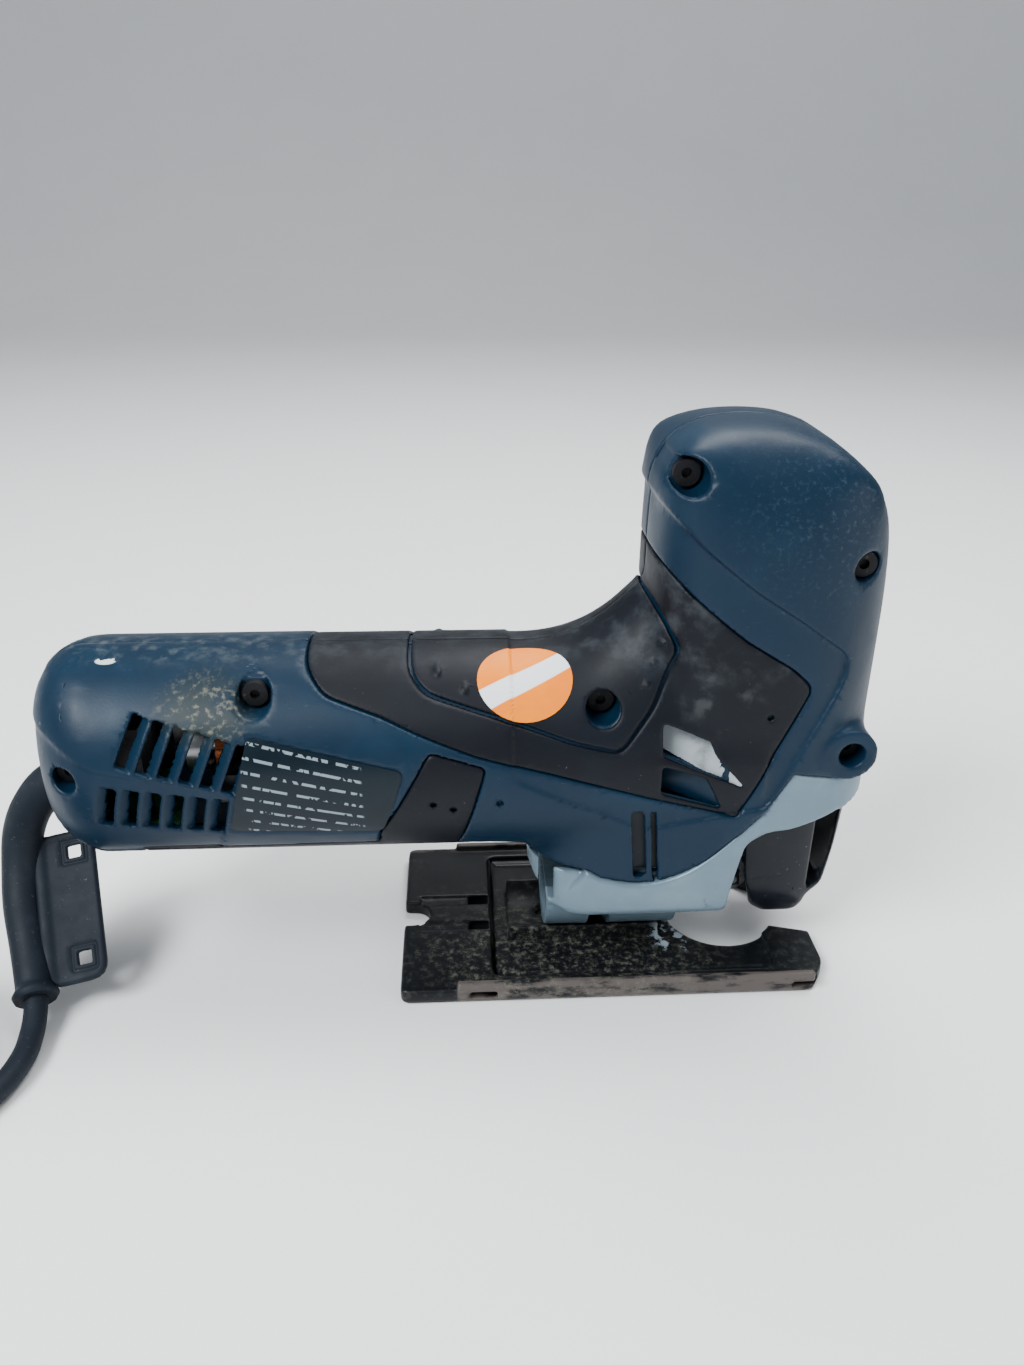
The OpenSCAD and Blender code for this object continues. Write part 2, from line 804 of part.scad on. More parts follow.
function frame_at(pts, i) = let (n = len(pts),
        t = pts[min(i + 1, n - 1)] - pts[max(i - 1, 0)], u = t / norm(t),
        s = cross(u, [0, 0, 1]), a = s / norm(s), b = cross(a, u)) [a, b];
// A smooth curve through hand-set points, steps points to a span
function spline_at(p, i, t) = let (n = len(p), a = p[max(i - 1, 0)], b = p[i], c = p[i + 1],
        d = p[min(i + 2, n - 1)])
    0.5 * (2 * b + (c - a) * t + (2 * a - 5 * b + 4 * c - d) * t * t
        + (3 * b - a - 3 * c + d) * t * t * t);
function smooth(p, steps) = concat([for (i = [0 : len(p) - 2], k = [0 : steps - 1])
    spline_at(p, i, k / steps)], [p[len(p) - 1]]);

module swept_tube(pts, r, sides = 10) {
    n = len(pts);
    rings = [for (i = [0 : n - 1]) let (f = frame_at(pts, i)) for (k = [0 : sides - 1])
        pts[i] + r * cos(360 * k / sides) * f[0] + r * sin(360 * k / sides) * f[1]];
    polyhedron(points = rings, faces = concat(
        [[for (k = [0 : sides - 1]) k]],
        [[for (k = [0 : sides - 1]) (n - 1) * sides + sides - 1 - k]],
        [for (i = [0 : n - 2], k = [0 : sides - 1])
            [i * sides + k, (i + 1) * sides + k, (i + 1) * sides + (k + 1) % sides,
                i * sides + (k + 1) % sides]]));
}

// The last bend of the lead, from the coil's top layer over to the plug
bend_r = 29;
bend_at = [coil_at[0] + 16.7, coil_at[1] + 6.1];
plug_rear = [bend_at[0], bend_at[1] - bend_r, plug_z];
top_bend = [for (t = [20 : -15.714 : -90.01]) let (f = (20 - t) / 110)
    [bend_at[0] + bend_r * cos(t), bend_at[1] + bend_r * sin(t), coil_h + 3.9 + (plug_z - coil_h - 3.9) * f]];

module mains_lead() {
    color("#202a36") {
        swept_tube(smooth(lead_route, 2), cord_d / 2 - 0.05);
        swept_tube(top_bend, cord_d / 2 - 0.05);
    }
}

module lead_coil() {
    color("#202a36") translate([coil_at[0], coil_at[1], 0]) rotate_extrude()
        translate([coil_in, 0]) square([coil_out - coil_in, coil_h]);
}

module plug_body() {
    color("#15191f") translate(plug_rear) rotate([0, -90, 0]) {
        cylinder(h = 10, r = 5.6);
        intersection() {
            translate([0, 0, 8]) cylinder(h = 30, r = 17.5);
            translate([-9.4, -18, 8]) cube([18.8, 36, 30]);
        }
    }
}

module plug_pins() {
    color("#c9ccd0") translate(plug_rear) rotate([0, -90, 0]) for (s = [-1, 1])
        translate([0, 9.5 * s, 38]) cylinder(h = 19, r = 2.4);
}

right_housing();
left_housing();
right_grip_skin();
left_grip_skin();
right_grip_pad();
left_grip_pad();
belly_strip();
gear_housing();
blade_hood();
guard_wire();
sole_plate();
plate_clamp_block();
plate_clamp_screw();
plunger();
blade_clamp();
clamp_lever();
roller_fork();
guide_roller();
fork_pivot_pin();
lower_bush();
upper_bush();
guide_bracket();
orbit_selector();
slide_switch();
speed_dial();
switch_module();
control_board();
suppressor();
armature_shaft();
armature_core();
armature_windings();
commutator();
fan();
front_bearing();
rear_bearing();
stator_core();
field_windings();
brush_holders();
carbon_brushes();
brush_springs();
drive_gear();
gear_axle();
balance_weight();
housing_screws();
bracket_screws();
rating_plate();
round_sticker();
lead_sleeve();
lead_clamp();
clamp_screws();
mains_lead();
lead_coil();
plug_body();
plug_pins();
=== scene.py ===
"""A barrel-grip jigsaw, dressed piece by piece around its CAD frame."""
import math

import bpy
import numpy as np
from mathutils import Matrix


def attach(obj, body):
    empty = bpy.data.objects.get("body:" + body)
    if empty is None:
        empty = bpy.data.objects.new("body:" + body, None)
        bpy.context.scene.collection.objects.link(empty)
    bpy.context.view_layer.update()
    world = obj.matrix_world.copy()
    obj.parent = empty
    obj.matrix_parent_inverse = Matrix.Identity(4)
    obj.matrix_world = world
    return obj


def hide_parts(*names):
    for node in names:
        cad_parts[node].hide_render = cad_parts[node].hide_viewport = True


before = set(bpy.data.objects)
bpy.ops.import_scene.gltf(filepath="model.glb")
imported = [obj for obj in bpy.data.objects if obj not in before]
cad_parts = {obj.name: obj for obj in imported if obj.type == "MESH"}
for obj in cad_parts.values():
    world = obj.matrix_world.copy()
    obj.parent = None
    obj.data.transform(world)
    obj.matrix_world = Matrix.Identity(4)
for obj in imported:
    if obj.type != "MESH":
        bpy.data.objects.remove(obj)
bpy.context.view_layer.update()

import openvdb
from mathutils import Matrix, Vector

MM = 0.001

# ---------------------------------------------------------------- camera, light, floor
# A plain pale table top, one large soft window to the left, a soft ceiling light and a
# pale fill. The camera stands low over the tool's right side and looks a little down.
eye = Vector((-105.2, -294.7, 239.0)) * MM
yaw, pitch, roll = math.radians(-3.19), math.radians(25.87), math.radians(0.36)
ahead = Vector((-math.sin(yaw) * math.cos(pitch), math.cos(yaw) * math.cos(pitch), -math.sin(pitch)))
right = Vector((math.cos(yaw), math.sin(yaw), 0))
up = right.cross(ahead)
right, up = (math.cos(roll) * right + math.sin(roll) * up,
             math.cos(roll) * up - math.sin(roll) * right)
cam_data = bpy.data.cameras.new("camera")
cam_data.lens, cam_data.sensor_width, cam_data.clip_start = 27.06, 36, 0.01
camera = bpy.data.objects.new("camera", cam_data)
camera.matrix_world = Matrix((
    (right.x, up.x, -ahead.x, eye.x), (right.y, up.y, -ahead.y, eye.y),
    (right.z, up.z, -ahead.z, eye.z), (0, 0, 0, 1)))
bpy.context.scene.collection.objects.link(camera)
bpy.context.scene.camera = camera


def soft_light(name, at, towards, size, power, tint=(1, 1, 1)):
    data = bpy.data.lights.new(name, "AREA")
    data.shape, data.size, data.size_y = "RECTANGLE", size[0], size[1]
    data.energy, data.color = power, tint
    lamp = bpy.data.objects.new(name, data)
    lamp.location = at
    lamp.rotation_euler = (Vector(towards) - Vector(at)).to_track_quat("-Z", "Y").to_euler()
    bpy.context.scene.collection.objects.link(lamp)


middle = Vector((-0.10, 0, 0.08))
soft_light("window", (-0.75, -0.55, 0.95), middle, (0.6, 0.4), 23, (0.95, 0.98, 1.0))
soft_light("ceiling", (0.15, 0.35, 1.1), middle, (0.9, 0.5), 17, (0.98, 0.99, 1.0))
soft_light("fill", (0.85, -0.7, 0.35), middle, (0.6, 0.6), 4)
world = bpy.data.worlds.new("studio")
world.use_nodes = True
world.node_tree.nodes["Background"].inputs["Color"].default_value = (0.86, 0.92, 1.0, 1)
world.node_tree.nodes["Background"].inputs["Strength"].default_value = 0.42
bpy.context.scene.world = world

sweep = [(-3, 0), (1.6, 0)] + [(1.6 + 1.2 * math.sin(t), 1.2 - 1.2 * math.cos(t))
                              for t in np.radians(np.arange(6, 91, 6))] + [(2.8, 4)]
floor_mesh = bpy.data.meshes.new("floor")
floor_mesh.from_pydata([(x, y, z - 0.0004) for y, z in sweep for x in (-5, 5)], [],
                       [(2 * i, 2 * i + 1, 2 * i + 3, 2 * i + 2) for i in range(len(sweep) - 1)])
floor_mesh.shade_smooth()
floor = bpy.data.objects.new("floor", floor_mesh)
bpy.context.scene.collection.objects.link(floor)


class Finish:
    """A procedural material, built up node by node from the object's own coordinates."""

    def __init__(self, name, colour, rough, metal=0.0, specular=0.2):
        self.mat = bpy.data.materials.new(name)
        self.mat.use_nodes = True
        self.tree = self.mat.node_tree
        self.shader = self.tree.nodes["Principled BSDF"]
        self.shader.inputs["Metallic"].default_value = metal
        self.shader.inputs["Specular IOR Level"].default_value = specular
        self.shader.inputs["Roughness"].default_value = rough
        self.place = self.add("ShaderNodeTexCoord").outputs["Object"]
        self.colour = None
        self.base = (*colour, 1)
        self.shader.inputs["Base Color"].default_value = self.base
        self.height = None

    def add(self, kind, **settings):
        node = self.tree.nodes.new(kind)
        for key, value in settings.items():
            setattr(node, key, value)
        return node

    def link(self, out, into):
        self.tree.links.new(out, into)

    def noise(self, per_metre, detail=4, stretch=(1, 1, 1), rough=0.6):
        """Noise at a scale in cycles a metre, stretched along the axes."""
        mapping = self.add("ShaderNodeMapping")
        mapping.inputs["Scale"].default_value = stretch
        self.link(self.place, mapping.inputs["Vector"])
        node = self.add("ShaderNodeTexNoise")
        node.inputs["Scale"].default_value = per_metre
        node.inputs["Detail"].default_value = detail
        node.inputs["Roughness"].default_value = rough
        self.link(mapping.outputs["Vector"], node.inputs["Vector"])
        return node.outputs["Fac"]

    def ramp(self, value, low, high):
        """0 below low, 1 above high, smooth between."""
        node = self.add("ShaderNodeMapRange", interpolation_type="SMOOTHSTEP")
        node.inputs["From Min"].default_value = low
        node.inputs["From Max"].default_value = high
        self.link(value, node.inputs["Value"])
        return node.outputs["Result"]

    def times(self, a, b):
        node = self.add("ShaderNodeMath", operation="MULTIPLY")
        self.link(a, node.inputs[0])
        if isinstance(b, (int, float)):
            node.inputs[1].default_value = b
        else:
            self.link(b, node.inputs[1])
        return node.outputs[0]

    def tint(self, mask, colour):
        """Paints colour over the finish where the mask is 1."""
        mix = self.add("ShaderNodeMix", data_type="RGBA")
        mix.inputs["B"].default_value = (*colour, 1)
        if self.colour is None:
            mix.inputs["A"].default_value = self.base
        else:
            self.link(self.colour, mix.inputs["A"])
        self.link(mask, mix.inputs["Factor"])
        self.colour = mix.outputs["Result"]
        self.link(self.colour, self.shader.inputs["Base Color"])

    def roughness(self, value, low, high):
        node = self.add("ShaderNodeMapRange")
        node.inputs["To Min"].default_value, node.inputs["To Max"].default_value = low, high
        self.link(value, node.inputs["Value"])
        self.link(node.outputs["Result"], self.shader.inputs["Roughness"])

    def bump(self, value, depth_mm, strength=0.6):
        node = self.add("ShaderNodeBump")
        node.inputs["Distance"].default_value = depth_mm * MM
        node.inputs["Strength"].default_value = strength
        self.link(value, node.inputs["Height"])
        if self.height is not None:
            self.link(self.height, node.inputs["Normal"])
        self.height = node.outputs["Normal"]
        self.link(self.height, self.shader.inputs["Normal"])

    def near(self, centre_mm, inner_mm, outer_mm, stretch=(1, 1, 1)):
        """1 close to a point on the piece, fading to 0."""
        shift = self.add("ShaderNodeVectorMath", operation="SUBTRACT")
        shift.inputs[1].default_value = Vector(centre_mm) * MM
        self.link(self.place, shift.inputs[0])
        scale = self.add("ShaderNodeVectorMath", operation="MULTIPLY")
        scale.inputs[1].default_value = stretch
        self.link(shift.outputs["Vector"], scale.inputs[0])
        size = self.add("ShaderNodeVectorMath", operation="LENGTH")
        self.link(scale.outputs["Vector"], size.inputs[0])
        node = self.add("ShaderNodeMapRange", interpolation_type="SMOOTHSTEP")
        node.inputs["From Min"].default_value = outer_mm * MM
        node.inputs["From Max"].default_value = inner_mm * MM
        self.link(size.outputs["Value"], node.inputs["Value"])
        return node.outputs["Result"]

    def axis(self, which):
        """The place along one axis, in metres."""
        node = self.add("ShaderNodeSeparateXYZ")
        self.link(self.place, node.inputs[0])
        return node.outputs[which]


floor_finish = Finish("pale_table", (0.90, 0.90, 0.895), 0.75)
floor_finish.tint(floor_finish.ramp(floor_finish.noise(6), 0.35, 0.75), (0.88, 0.88, 0.875))
floor_mesh.materials.append(floor_finish.mat)


# ---------------------------------------------------------------- mains lead
# A round two-core lead in a matt black rubber sheath, 7.2 mm thick. It drops out of the
# bend protector, bends away on the table and is wound into a flat coil of four layers.
cord_d = 7.2
route = [(-239.7, -41.4, 8.5), (-238.6, -47, 6), (-238, -53, 4.2), (-237.6, -60, 3.8),
         (-239, -69, 3.8), (-243, -78, 3.8), (-249, -88, 3.8), (-257, -99, 3.8),
         (-268, -110, 3.8), (-280, -119.5, 3.8), (-294, -127, 3.8), (-310, -132, 3.8)]
coil_at = (-310, -85)
outer_turn = 46.8
bend_at, bend_r = (coil_at[0] + 16.7, coil_at[1] + 6.1), 29
plug_z = 4 * cord_d + 9.5
# Each run of the coil: its column, counted inwards, and its layer, counted upwards
runs = [(0, 0), (1, 0), (1, 1), (0, 1), (0, 2), (1, 2), (1, 3), (0, 3)]
run_degrees, shift_degrees, whole_degrees = 360, 46, 2770
end_rise = 7.5
coil_top = 3.5 * cord_d + end_rise


def smoothed(points, steps):
    """A Catmull-Rom curve through the points."""
    p = [points[0]] + list(points) + [points[-1]]
    out = []
    for a, b, c, d in zip(p, p[1:], p[2:], p[3:]):
        a, b, c, d = (np.array(v, float) for v in (a, b, c, d))
        for t in np.arange(steps) / steps:
            out.append(0.5 * (2 * b + (c - a) * t + (2 * a - 5 * b + 4 * c - d) * t * t
                              + (3 * b - a - 3 * c + d) * t ** 3))
    return out + [np.array(points[-1], float)]


def smoothstep(low, high, value):
    t = np.clip((value - low) / (high - low), 0, 1)
    return t * t * (3 - 2 * t)


lead_line = smoothed(route, 4)[:-1]
for turned in range(0, whole_degrees + 1, 6):
    run = min(turned // run_degrees, len(runs) - 1)
    here = np.array(runs[run], float)
    if run + 1 < len(runs):
        part = smoothstep(run_degrees - shift_degrees, run_degrees, turned - run * run_degrees)
        here = here + part * (np.array(runs[run + 1]) - here)
    angle = math.radians(-90 - turned)
    radius = outer_turn - cord_d * here[0]
    rise = end_rise * smoothstep(whole_degrees - 90, whole_degrees, turned)
    lead_line.append(np.array([coil_at[0] + radius * math.cos(angle),
                               coil_at[1] + radius * math.sin(angle), cord_d * (here[1] + 0.5) + rise]))
for t in range(10, 111, 6):
    angle = math.radians(20 - t)
    lead_line.append(np.array([bend_at[0] + bend_r * math.cos(angle), bend_at[1] + bend_r * math.sin(angle),
                               coil_top + (plug_z - coil_top) * smoothstep(0, 110, t)]))

lead_rubber = Finish("lead_rubber", (0.0065, 0.0105, 0.017), 0.5)
lead_rubber.tint(lead_rubber.ramp(lead_rubber.noise(90), 0.5, 0.75), (0.013, 0.019, 0.028))
lead_rubber.tint(lead_rubber.ramp(lead_rubber.noise(900, 2), 0.66, 0.8), (0.07, 0.07, 0.07))
lead_rubber.roughness(lead_rubber.noise(150), 0.5, 0.75)
lead_rubber.bump(lead_rubber.noise(1400, 3), 0.06)


def curve_piece(name, points_mm, radius_mm, material, radii=None):
    """A round cord or wire along a line of points."""
    data = bpy.data.curves.new(name, "CURVE")
    data.dimensions, data.bevel_depth, data.bevel_resolution = "3D", radius_mm * MM, 5
    data.use_fill_caps = True
    spline = data.splines.new("POLY")
    spline.points.add(len(points_mm) - 1)
    for i, (point, at) in enumerate(zip(spline.points, points_mm)):
        point.co = (*(np.array(at) * MM), 1)
        if radii is not None:
            point.radius = radii[i] / radius_mm
    spline.use_smooth = True
    data.materials.append(material)
    piece = bpy.data.objects.new(name, data)
    bpy.context.scene.collection.objects.link(piece)
    return piece


mains_lead = curve_piece("lead_sheath", lead_line, cord_d / 2, lead_rubber.mat)
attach(mains_lead, "housing")
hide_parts("mains_lead", "lead_coil")


# ---------------------------------------------------------------- housing shells
# Two mouldings in dark blue glass-filled nylon meet on the tool's centre plane and are
# held by screws in deep wells, all driven from the right. They are rubbed and dusty.
def grid(low, high, step):
    """Open axes of a regular grid, so that flat outlines are worked out only once."""
    axes = [np.arange(a, b + step, step, dtype=np.float32) for a, b in zip(low, high)]
    return axes[0][:, None, None], axes[1][None, :, None], axes[2][None, None, :]


def join(a, b, k):
    return np.minimum(a, b) - np.maximum(k - np.abs(a - b), 0) ** 2 / (4 * k)


def meet(a, b, k):
    return np.maximum(a, b) + np.maximum(k - np.abs(a - b), 0) ** 2 / (4 * k)


def rounded(points, r):
    """An outline with its corners rounded off over about r."""
    p = np.array(points, np.float32)
    out = []
    for a, b, c in zip(np.roll(p, 1, 0), p, np.roll(p, -1, 0)):
        start = b + (a - b) * min(r / np.linalg.norm(a - b), 0.45)
        end = b + (c - b) * min(r / np.linalg.norm(c - b), 0.45)
        out += [(1 - t) ** 2 * start + 2 * t * (1 - t) * b + t * t * end for t in (0, 0.25, 0.5, 0.75, 1)]
    return out


def outline(points, x, z):
    """Signed distance to a closed outline, negative inside."""
    p = np.array(points, np.float32)
    best, inside = None, False
    for a, b in zip(p, np.roll(p, -1, 0)):
        ex, ez = b - a
        wx, wz = x - a[0], z - a[1]
        t = np.clip((wx * ex + wz * ez) / (ex * ex + ez * ez + 1e-9), 0, 1)
        d = np.hypot(wx - t * ex, wz - t * ez)
        best = d if best is None else np.minimum(best, d)
        if abs(ez) > 1e-6:
            inside = inside ^ (((a[1] <= z) != (b[1] <= z)) & (wx < wz * ex / ez))
    return np.where(inside, -best, best)


def oval(x, y, half_x, half_y, power, scale):
    """Roughly the distance to an oval that grows squarer with a higher power."""
    return scale * ((np.abs(x) / half_x) ** power + (np.abs(y) / half_y) ** power) ** (1 / power) - scale


def box(x, y, z, low, high, r=0.0):
    """Signed distance to a box with its edges rounded by r; 0 * y makes it endless that way."""
    q = [np.abs(v - (a + b) / 2) - (b - a) / 2 + r for v, a, b in zip((x, y, z), low, high)]
    outside = np.sqrt(sum(np.maximum(v, 0) ** 2 for v in q))
    return outside + np.minimum(np.maximum(np.maximum(q[0], q[1]), q[2]), 0) - r


def surface_piece(name, field, low, step, material, body, place=None, adapt=0.05):
    """Meshes the zero of a distance field and lets the piece ride on its body."""
    volume = openvdb.FloatGrid(2.0)
    volume.copyFromArray(np.clip(field, -2, 2).astype(np.float32), tolerance=0.0)
    volume.transform = openvdb.createLinearTransform(voxelSize=step)
    points, tris, quads = volume.convertToPolygons(isovalue=0.0, adaptivity=adapt)
    points = points + np.array(low)
    mesh = bpy.data.meshes.new(name)
    faces = [tuple(int(i) for i in f) for f in list(quads) + list(tris)]
    mesh.from_pydata((points * MM).tolist(), [], faces)
    mesh.flip_normals()
    mesh.shade_smooth()
    mesh.materials.append(material)
    piece = bpy.data.objects.new(name, mesh)
    if place is not None:
        mesh.transform(place)
        if place.determinant() < 0:
            mesh.flip_normals()
    bpy.context.scene.collection.objects.link(piece)
    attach(piece, body)
    return piece


barrel_z, barrel_r = 77, 34.6
rear_x, rear_round = -236, 17
selector_x, selector_z = -70, 62
switch_bay = (-122, -50, 79), (-96, -28, 92)
head_outline = rounded([(-20, 43), (5, 46), (20, 50), (24, 58), (24.5, 70), (24.5, 90), (24, 105),
                        (23.5, 122), (21.5, 139), (17.5, 154.5), (10, 167), (0, 176), (-12, 181),
                        (-24, 182.3), (-36, 180), (-45, 174), (-49.5, 164), (-51, 150), (-51, 43)], 5)
band = rounded([(-50, 145), (-38, 134), (-24, 123), (-8, 113), (-2, 107), (-9, 91), (-21, 64),
                (-50, 72), (-79, 81), (-101, 87), (-117, 93), (-129, 98), (-146, 103), (-152, 109),
                (-152, 125), (-80, 130)], 3)
grip_pad = rounded([(-119, 125), (-121, 108), (-116, 103), (-93, 97), (-72, 90), (-58, 87),
                    (-48, 100), (-41, 117), (-46, 126), (-62, 145), (-80, 130)], 3)
belly = rounded([(-206, 30), (-206, 52.5), (-131, 54.5), (-131, 60), (-115, 89), (-98, 84),
                 (-107, 50), (-86, 48), (-86, 30)], 2)
margin = rounded([(-60, 168), (-49, 160), (-37, 149), (-23, 138), (-9, 129), (6, 118), (8.5, 113),
                  (6, 106), (-3, 88), (-12, 68), (-50, 60), (-90, 80), (-90, 150)], 3)
rear_hollow = rounded([(-246, 97), (-226, 92.5), (-213, 85.5), (-173, 77.5), (-177, 63), (-181, 51),
                       (-246, 47)], 3)
label_at = rounded([(-176, 62.5), (-129, 60.5), (-121.5, 84), (-168, 95)], 2.5)
wells = [(-166, 103, -17, 5), (-63, 99, -17, 5), (-42, 168, -16, 5), (9.5, 143, -22, 4.5),
         (-222, 81, -22, 4), (13, 84, -22, 4)]
scoops = [(rounded([(-45, 95), (-31, 89.5), (-29, 85), (-20.5, 75.5), (-45, 86)], 1), 8),
          (rounded([(-45, 82.5), (-32, 78.5), (-26.5, 67.5), (-45, 73.5)], 1), 8)]
foot_edge = [(-5.4, 78.4), (-9, 72), (-14, 64.5), (-21, 56.5), (-29, 48.5),
             (-38, 42.6), (-50, 39.6), (-62, 41)]
foot_top = [(24, 76), (11, 75.2), (-5, 79)] + [tuple(p) for p in smoothed(foot_edge, 3)]
wall, skin = 2.8, 1.5


def tool_form(x, y, z):
    """The tool's outer form, as a distance in millimetres."""
    across = np.hypot(y, z - barrel_z) - barrel_r
    behind = rear_x - x + 8 * (y / barrel_r) ** 2
    barrel = (np.hypot(np.maximum(across + rear_round, 0), np.maximum(behind + rear_round, 0))
              + np.minimum(np.maximum(across, behind) + rear_round, 0) - rear_round)
    barrel = np.maximum(barrel, x + 13)
    power = np.where(x > -13, 2.05, 2.6)
    plan = oval(x + 13, y, 38, 34.4, power, 36)
    cap = oval(y, np.maximum(z - 136, 0), 34.5, 47, 2.4, 34.5)
    head = meet(meet(outline(head_outline, x, z), plan, 4), cap, 5)
    along, off = (x + 75 + z - 73) / math.sqrt(2), (x + 75 - z + 73) / math.sqrt(2)
    neck = np.maximum(np.sqrt(off ** 2 + y ** 2 + np.minimum(along, 0) ** 2) - 24, along - 92)
    flank_plan = oval(x + 30, y, 54, 32.6, 3.2, 50)
    flank = meet(flank_plan, np.maximum(39 - z, np.maximum(z - 84, x - 18)), 3)
    nose = np.maximum(np.hypot(x - 12.5, z - 84) - 8.2, np.abs(y) - 31)
    form = join(join(join(join(barrel, flank, 5), neck, 14), head, 2.5), nose, 3)
    form = form + 1.3 * smoothstep(0.5, -0.5, outline(margin, x, z)) * smoothstep(-112, -62, x)
    form = form + 0.7 * smoothstep(0.8, -0.8, outline(rear_hollow, x, z))
    return form - 0.35 * smoothstep(105.5, 106.3, z) * smoothstep(-151, -152, x)


def slot_cut(x, z, form, top, lean, half, louvre, length):
    """A leaning slot through the wall, with a slope running down into one side of it."""
    c, s = math.cos(math.radians(lean)), math.sin(math.radians(lean))
    u, v = (x - top[0]) * c - (z - top[1]) * s, (x - top[0]) * s + (z - top[1]) * c
    ends = np.abs(v + length / 2 - 0.7) - length / 2
    inside = np.maximum(ends, np.abs(u) - half)
    slope = 2.6 * np.clip(1 - (np.abs(u) - half) / 2.8, 0, 1)
    beside = np.maximum(ends, np.where(louvre * u > 0, np.abs(u) - half - 2.8, 9))
    return np.minimum(inside, np.maximum(beside, -(form + slope)))


def shell_field(x, y, z, right):
    """One shell; y is negative towards its outside."""
    form = tool_form(x, y, z)
    shell = np.maximum(form, -(form + wall))
    for wx, wz, wy, r in wells:
        tube = np.maximum(np.hypot(x - wx, z - wz) - r - 1.6, y - wy - 1.6)
        pillar = np.hypot(x - wx, z - wz) - 3.6
        shell = np.minimum(shell, np.maximum(np.minimum(tube, pillar), form))
    # sunk for the soft grip, the belly strip and the rating plate
    soft = np.minimum(outline(band, x, z), outline(belly, x, z))
    soft = np.minimum(soft, np.maximum(outline(grip_pad, x, z), -(z - 88)))
    shell = np.maximum(shell, -np.maximum(soft, -(form + skin + 0.1)))
    shell = np.maximum(shell, -np.maximum(outline(label_at, x, z), -(form + 0.5)))
    cuts = []
    for i in range(6):
        cuts.append(slot_cut(x, z, form, (-199.5 + 6 * i, 99.3 - 1.6 * i), 22, 1.3, 1, 15))
        cuts.append(slot_cut(x, z, form, (-207.5 + 6.4 * i, 79 - 0.9 * i), 14, 1.2, -1, 13.5))
    for line, deep in scoops:
        floor_deep = 0.5 + deep * np.clip((-21.5 - x) / 23.5, 0, 1)
        cuts.append(np.maximum(outline(line, x, z), -(form + floor_deep)))
    lean_x = x + 0.08 * (z - 54)
    cuts.append(box(lean_x, 0 * y, z, (-52.6, -1, 42), (-48.6, 1, 66.5), 0.4))
    cuts.append(box(lean_x, 0 * y, z, (-46.6, -1, 41), (-45, 1, 66), 0.4))
    side_only = y + 18
    for cut in cuts:
        shell = np.maximum(shell, -np.maximum(cut, side_only))
    for dx, dz in ((-94, 72), (-114, 72), (-108, 70), (-14, 98)):
        dimple = np.sqrt((x - dx) ** 2 + (z - dz) ** 2 + np.minimum(form + 0.6, 0) ** 2)
        shell = np.maximum(shell, 1.1 - dimple)
    if right:
        for wx, wz, wy, r in wells:
            hole = np.hypot(x - wx, z - wz) - r
            shell = np.maximum(shell, -np.maximum(hole, y - wy))
            shell = np.maximum(shell, 0.5 - np.hypot(np.maximum(hole, 0), form))
    else:
        shell = np.maximum(shell, -box(x, y, z, *switch_bay, 1.5))
        shell = np.maximum(shell, -box(x, y, z, (-216.6, -50, 88), (-209.4, -17, 107), 0.6))
        shell = np.maximum(shell, -np.maximum(np.hypot(x - selector_x, z - selector_z) - 8.4, y + 20))
    # room for the foot, the blade hood and the bend protector
    foot_room = outline([(-84, 26), (40, 26), (40, 76.4)] + foot_top + [(-66, 43.3), (-84, 43.3)], x, z)
    shell = np.maximum(shell, 0.15 - foot_room)
    shell = np.maximum(shell, -box(x, y, z, (-62, -28.8, 40), (-12, 9, 66)))
    shell = np.maximum(shell, -np.maximum(np.hypot(y, z - 65) - 8.4, x + 220))
    # the halves meet in a fine shadow line
    return meet(shell, y + 0.12, 0.5)


blue_shell = Finish("blue_shell", (0.0014, 0.0135, 0.031), 0.36)
blue_shell.tint(blue_shell.ramp(blue_shell.noise(35), 0.45, 0.8), (0.0026, 0.0195, 0.041))
worn = blue_shell.near((-180, -24, 100), 6, 18, (1, 0.6, 1.5))
dull = blue_shell.ramp(blue_shell.noise(70), 0.25, 0.5)
blue_shell.tint(blue_shell.times(worn, dull), (0.012, 0.022, 0.026))
dust = blue_shell.ramp(blue_shell.noise(520, 8), 0.50, 0.72)
blue_shell.tint(blue_shell.times(worn, dust), (0.14, 0.14, 0.11))
scratches = blue_shell.ramp(blue_shell.noise(260, 6, (1, 1, 7), 0.75), 0.64, 0.74)
blue_shell.tint(blue_shell.times(scratches, 0.35), (0.16, 0.24, 0.30))
grime = blue_shell.times(blue_shell.ramp(blue_shell.axis(2), 0.1085, 0.1125),
                         blue_shell.ramp(blue_shell.axis(0), -0.14, -0.17))
grime = blue_shell.times(grime, blue_shell.ramp(blue_shell.noise(240, 6), 0.45, 0.75))
blue_shell.tint(blue_shell.times(grime, 0.45), (0.13, 0.15, 0.15))
# A lighter blue patch on the upper near side of the head is a painted highlight.
head_highlight_and_grip_rub = blue_shell.times(blue_shell.near((0, -22, 160), 8, 42),
                          blue_shell.ramp(blue_shell.noise(700, 8), 0.5, 0.8))
blue_shell.tint(blue_shell.times(head_highlight_and_grip_rub, 0.3), (0.08, 0.13, 0.17))
chip = blue_shell.times(blue_shell.near((-211, -10, 110), 1.2, 1.5, (0.42, 0.8, 1)),
                        blue_shell.ramp(blue_shell.noise(330, 1), 0.40, 0.44))
blue_shell.tint(chip, (0.6, 0.68, 0.62))
blue_shell.roughness(blue_shell.noise(60, 5), 0.30, 0.56)
blue_shell.bump(blue_shell.noise(1500, 2), 0.05, 0.5)

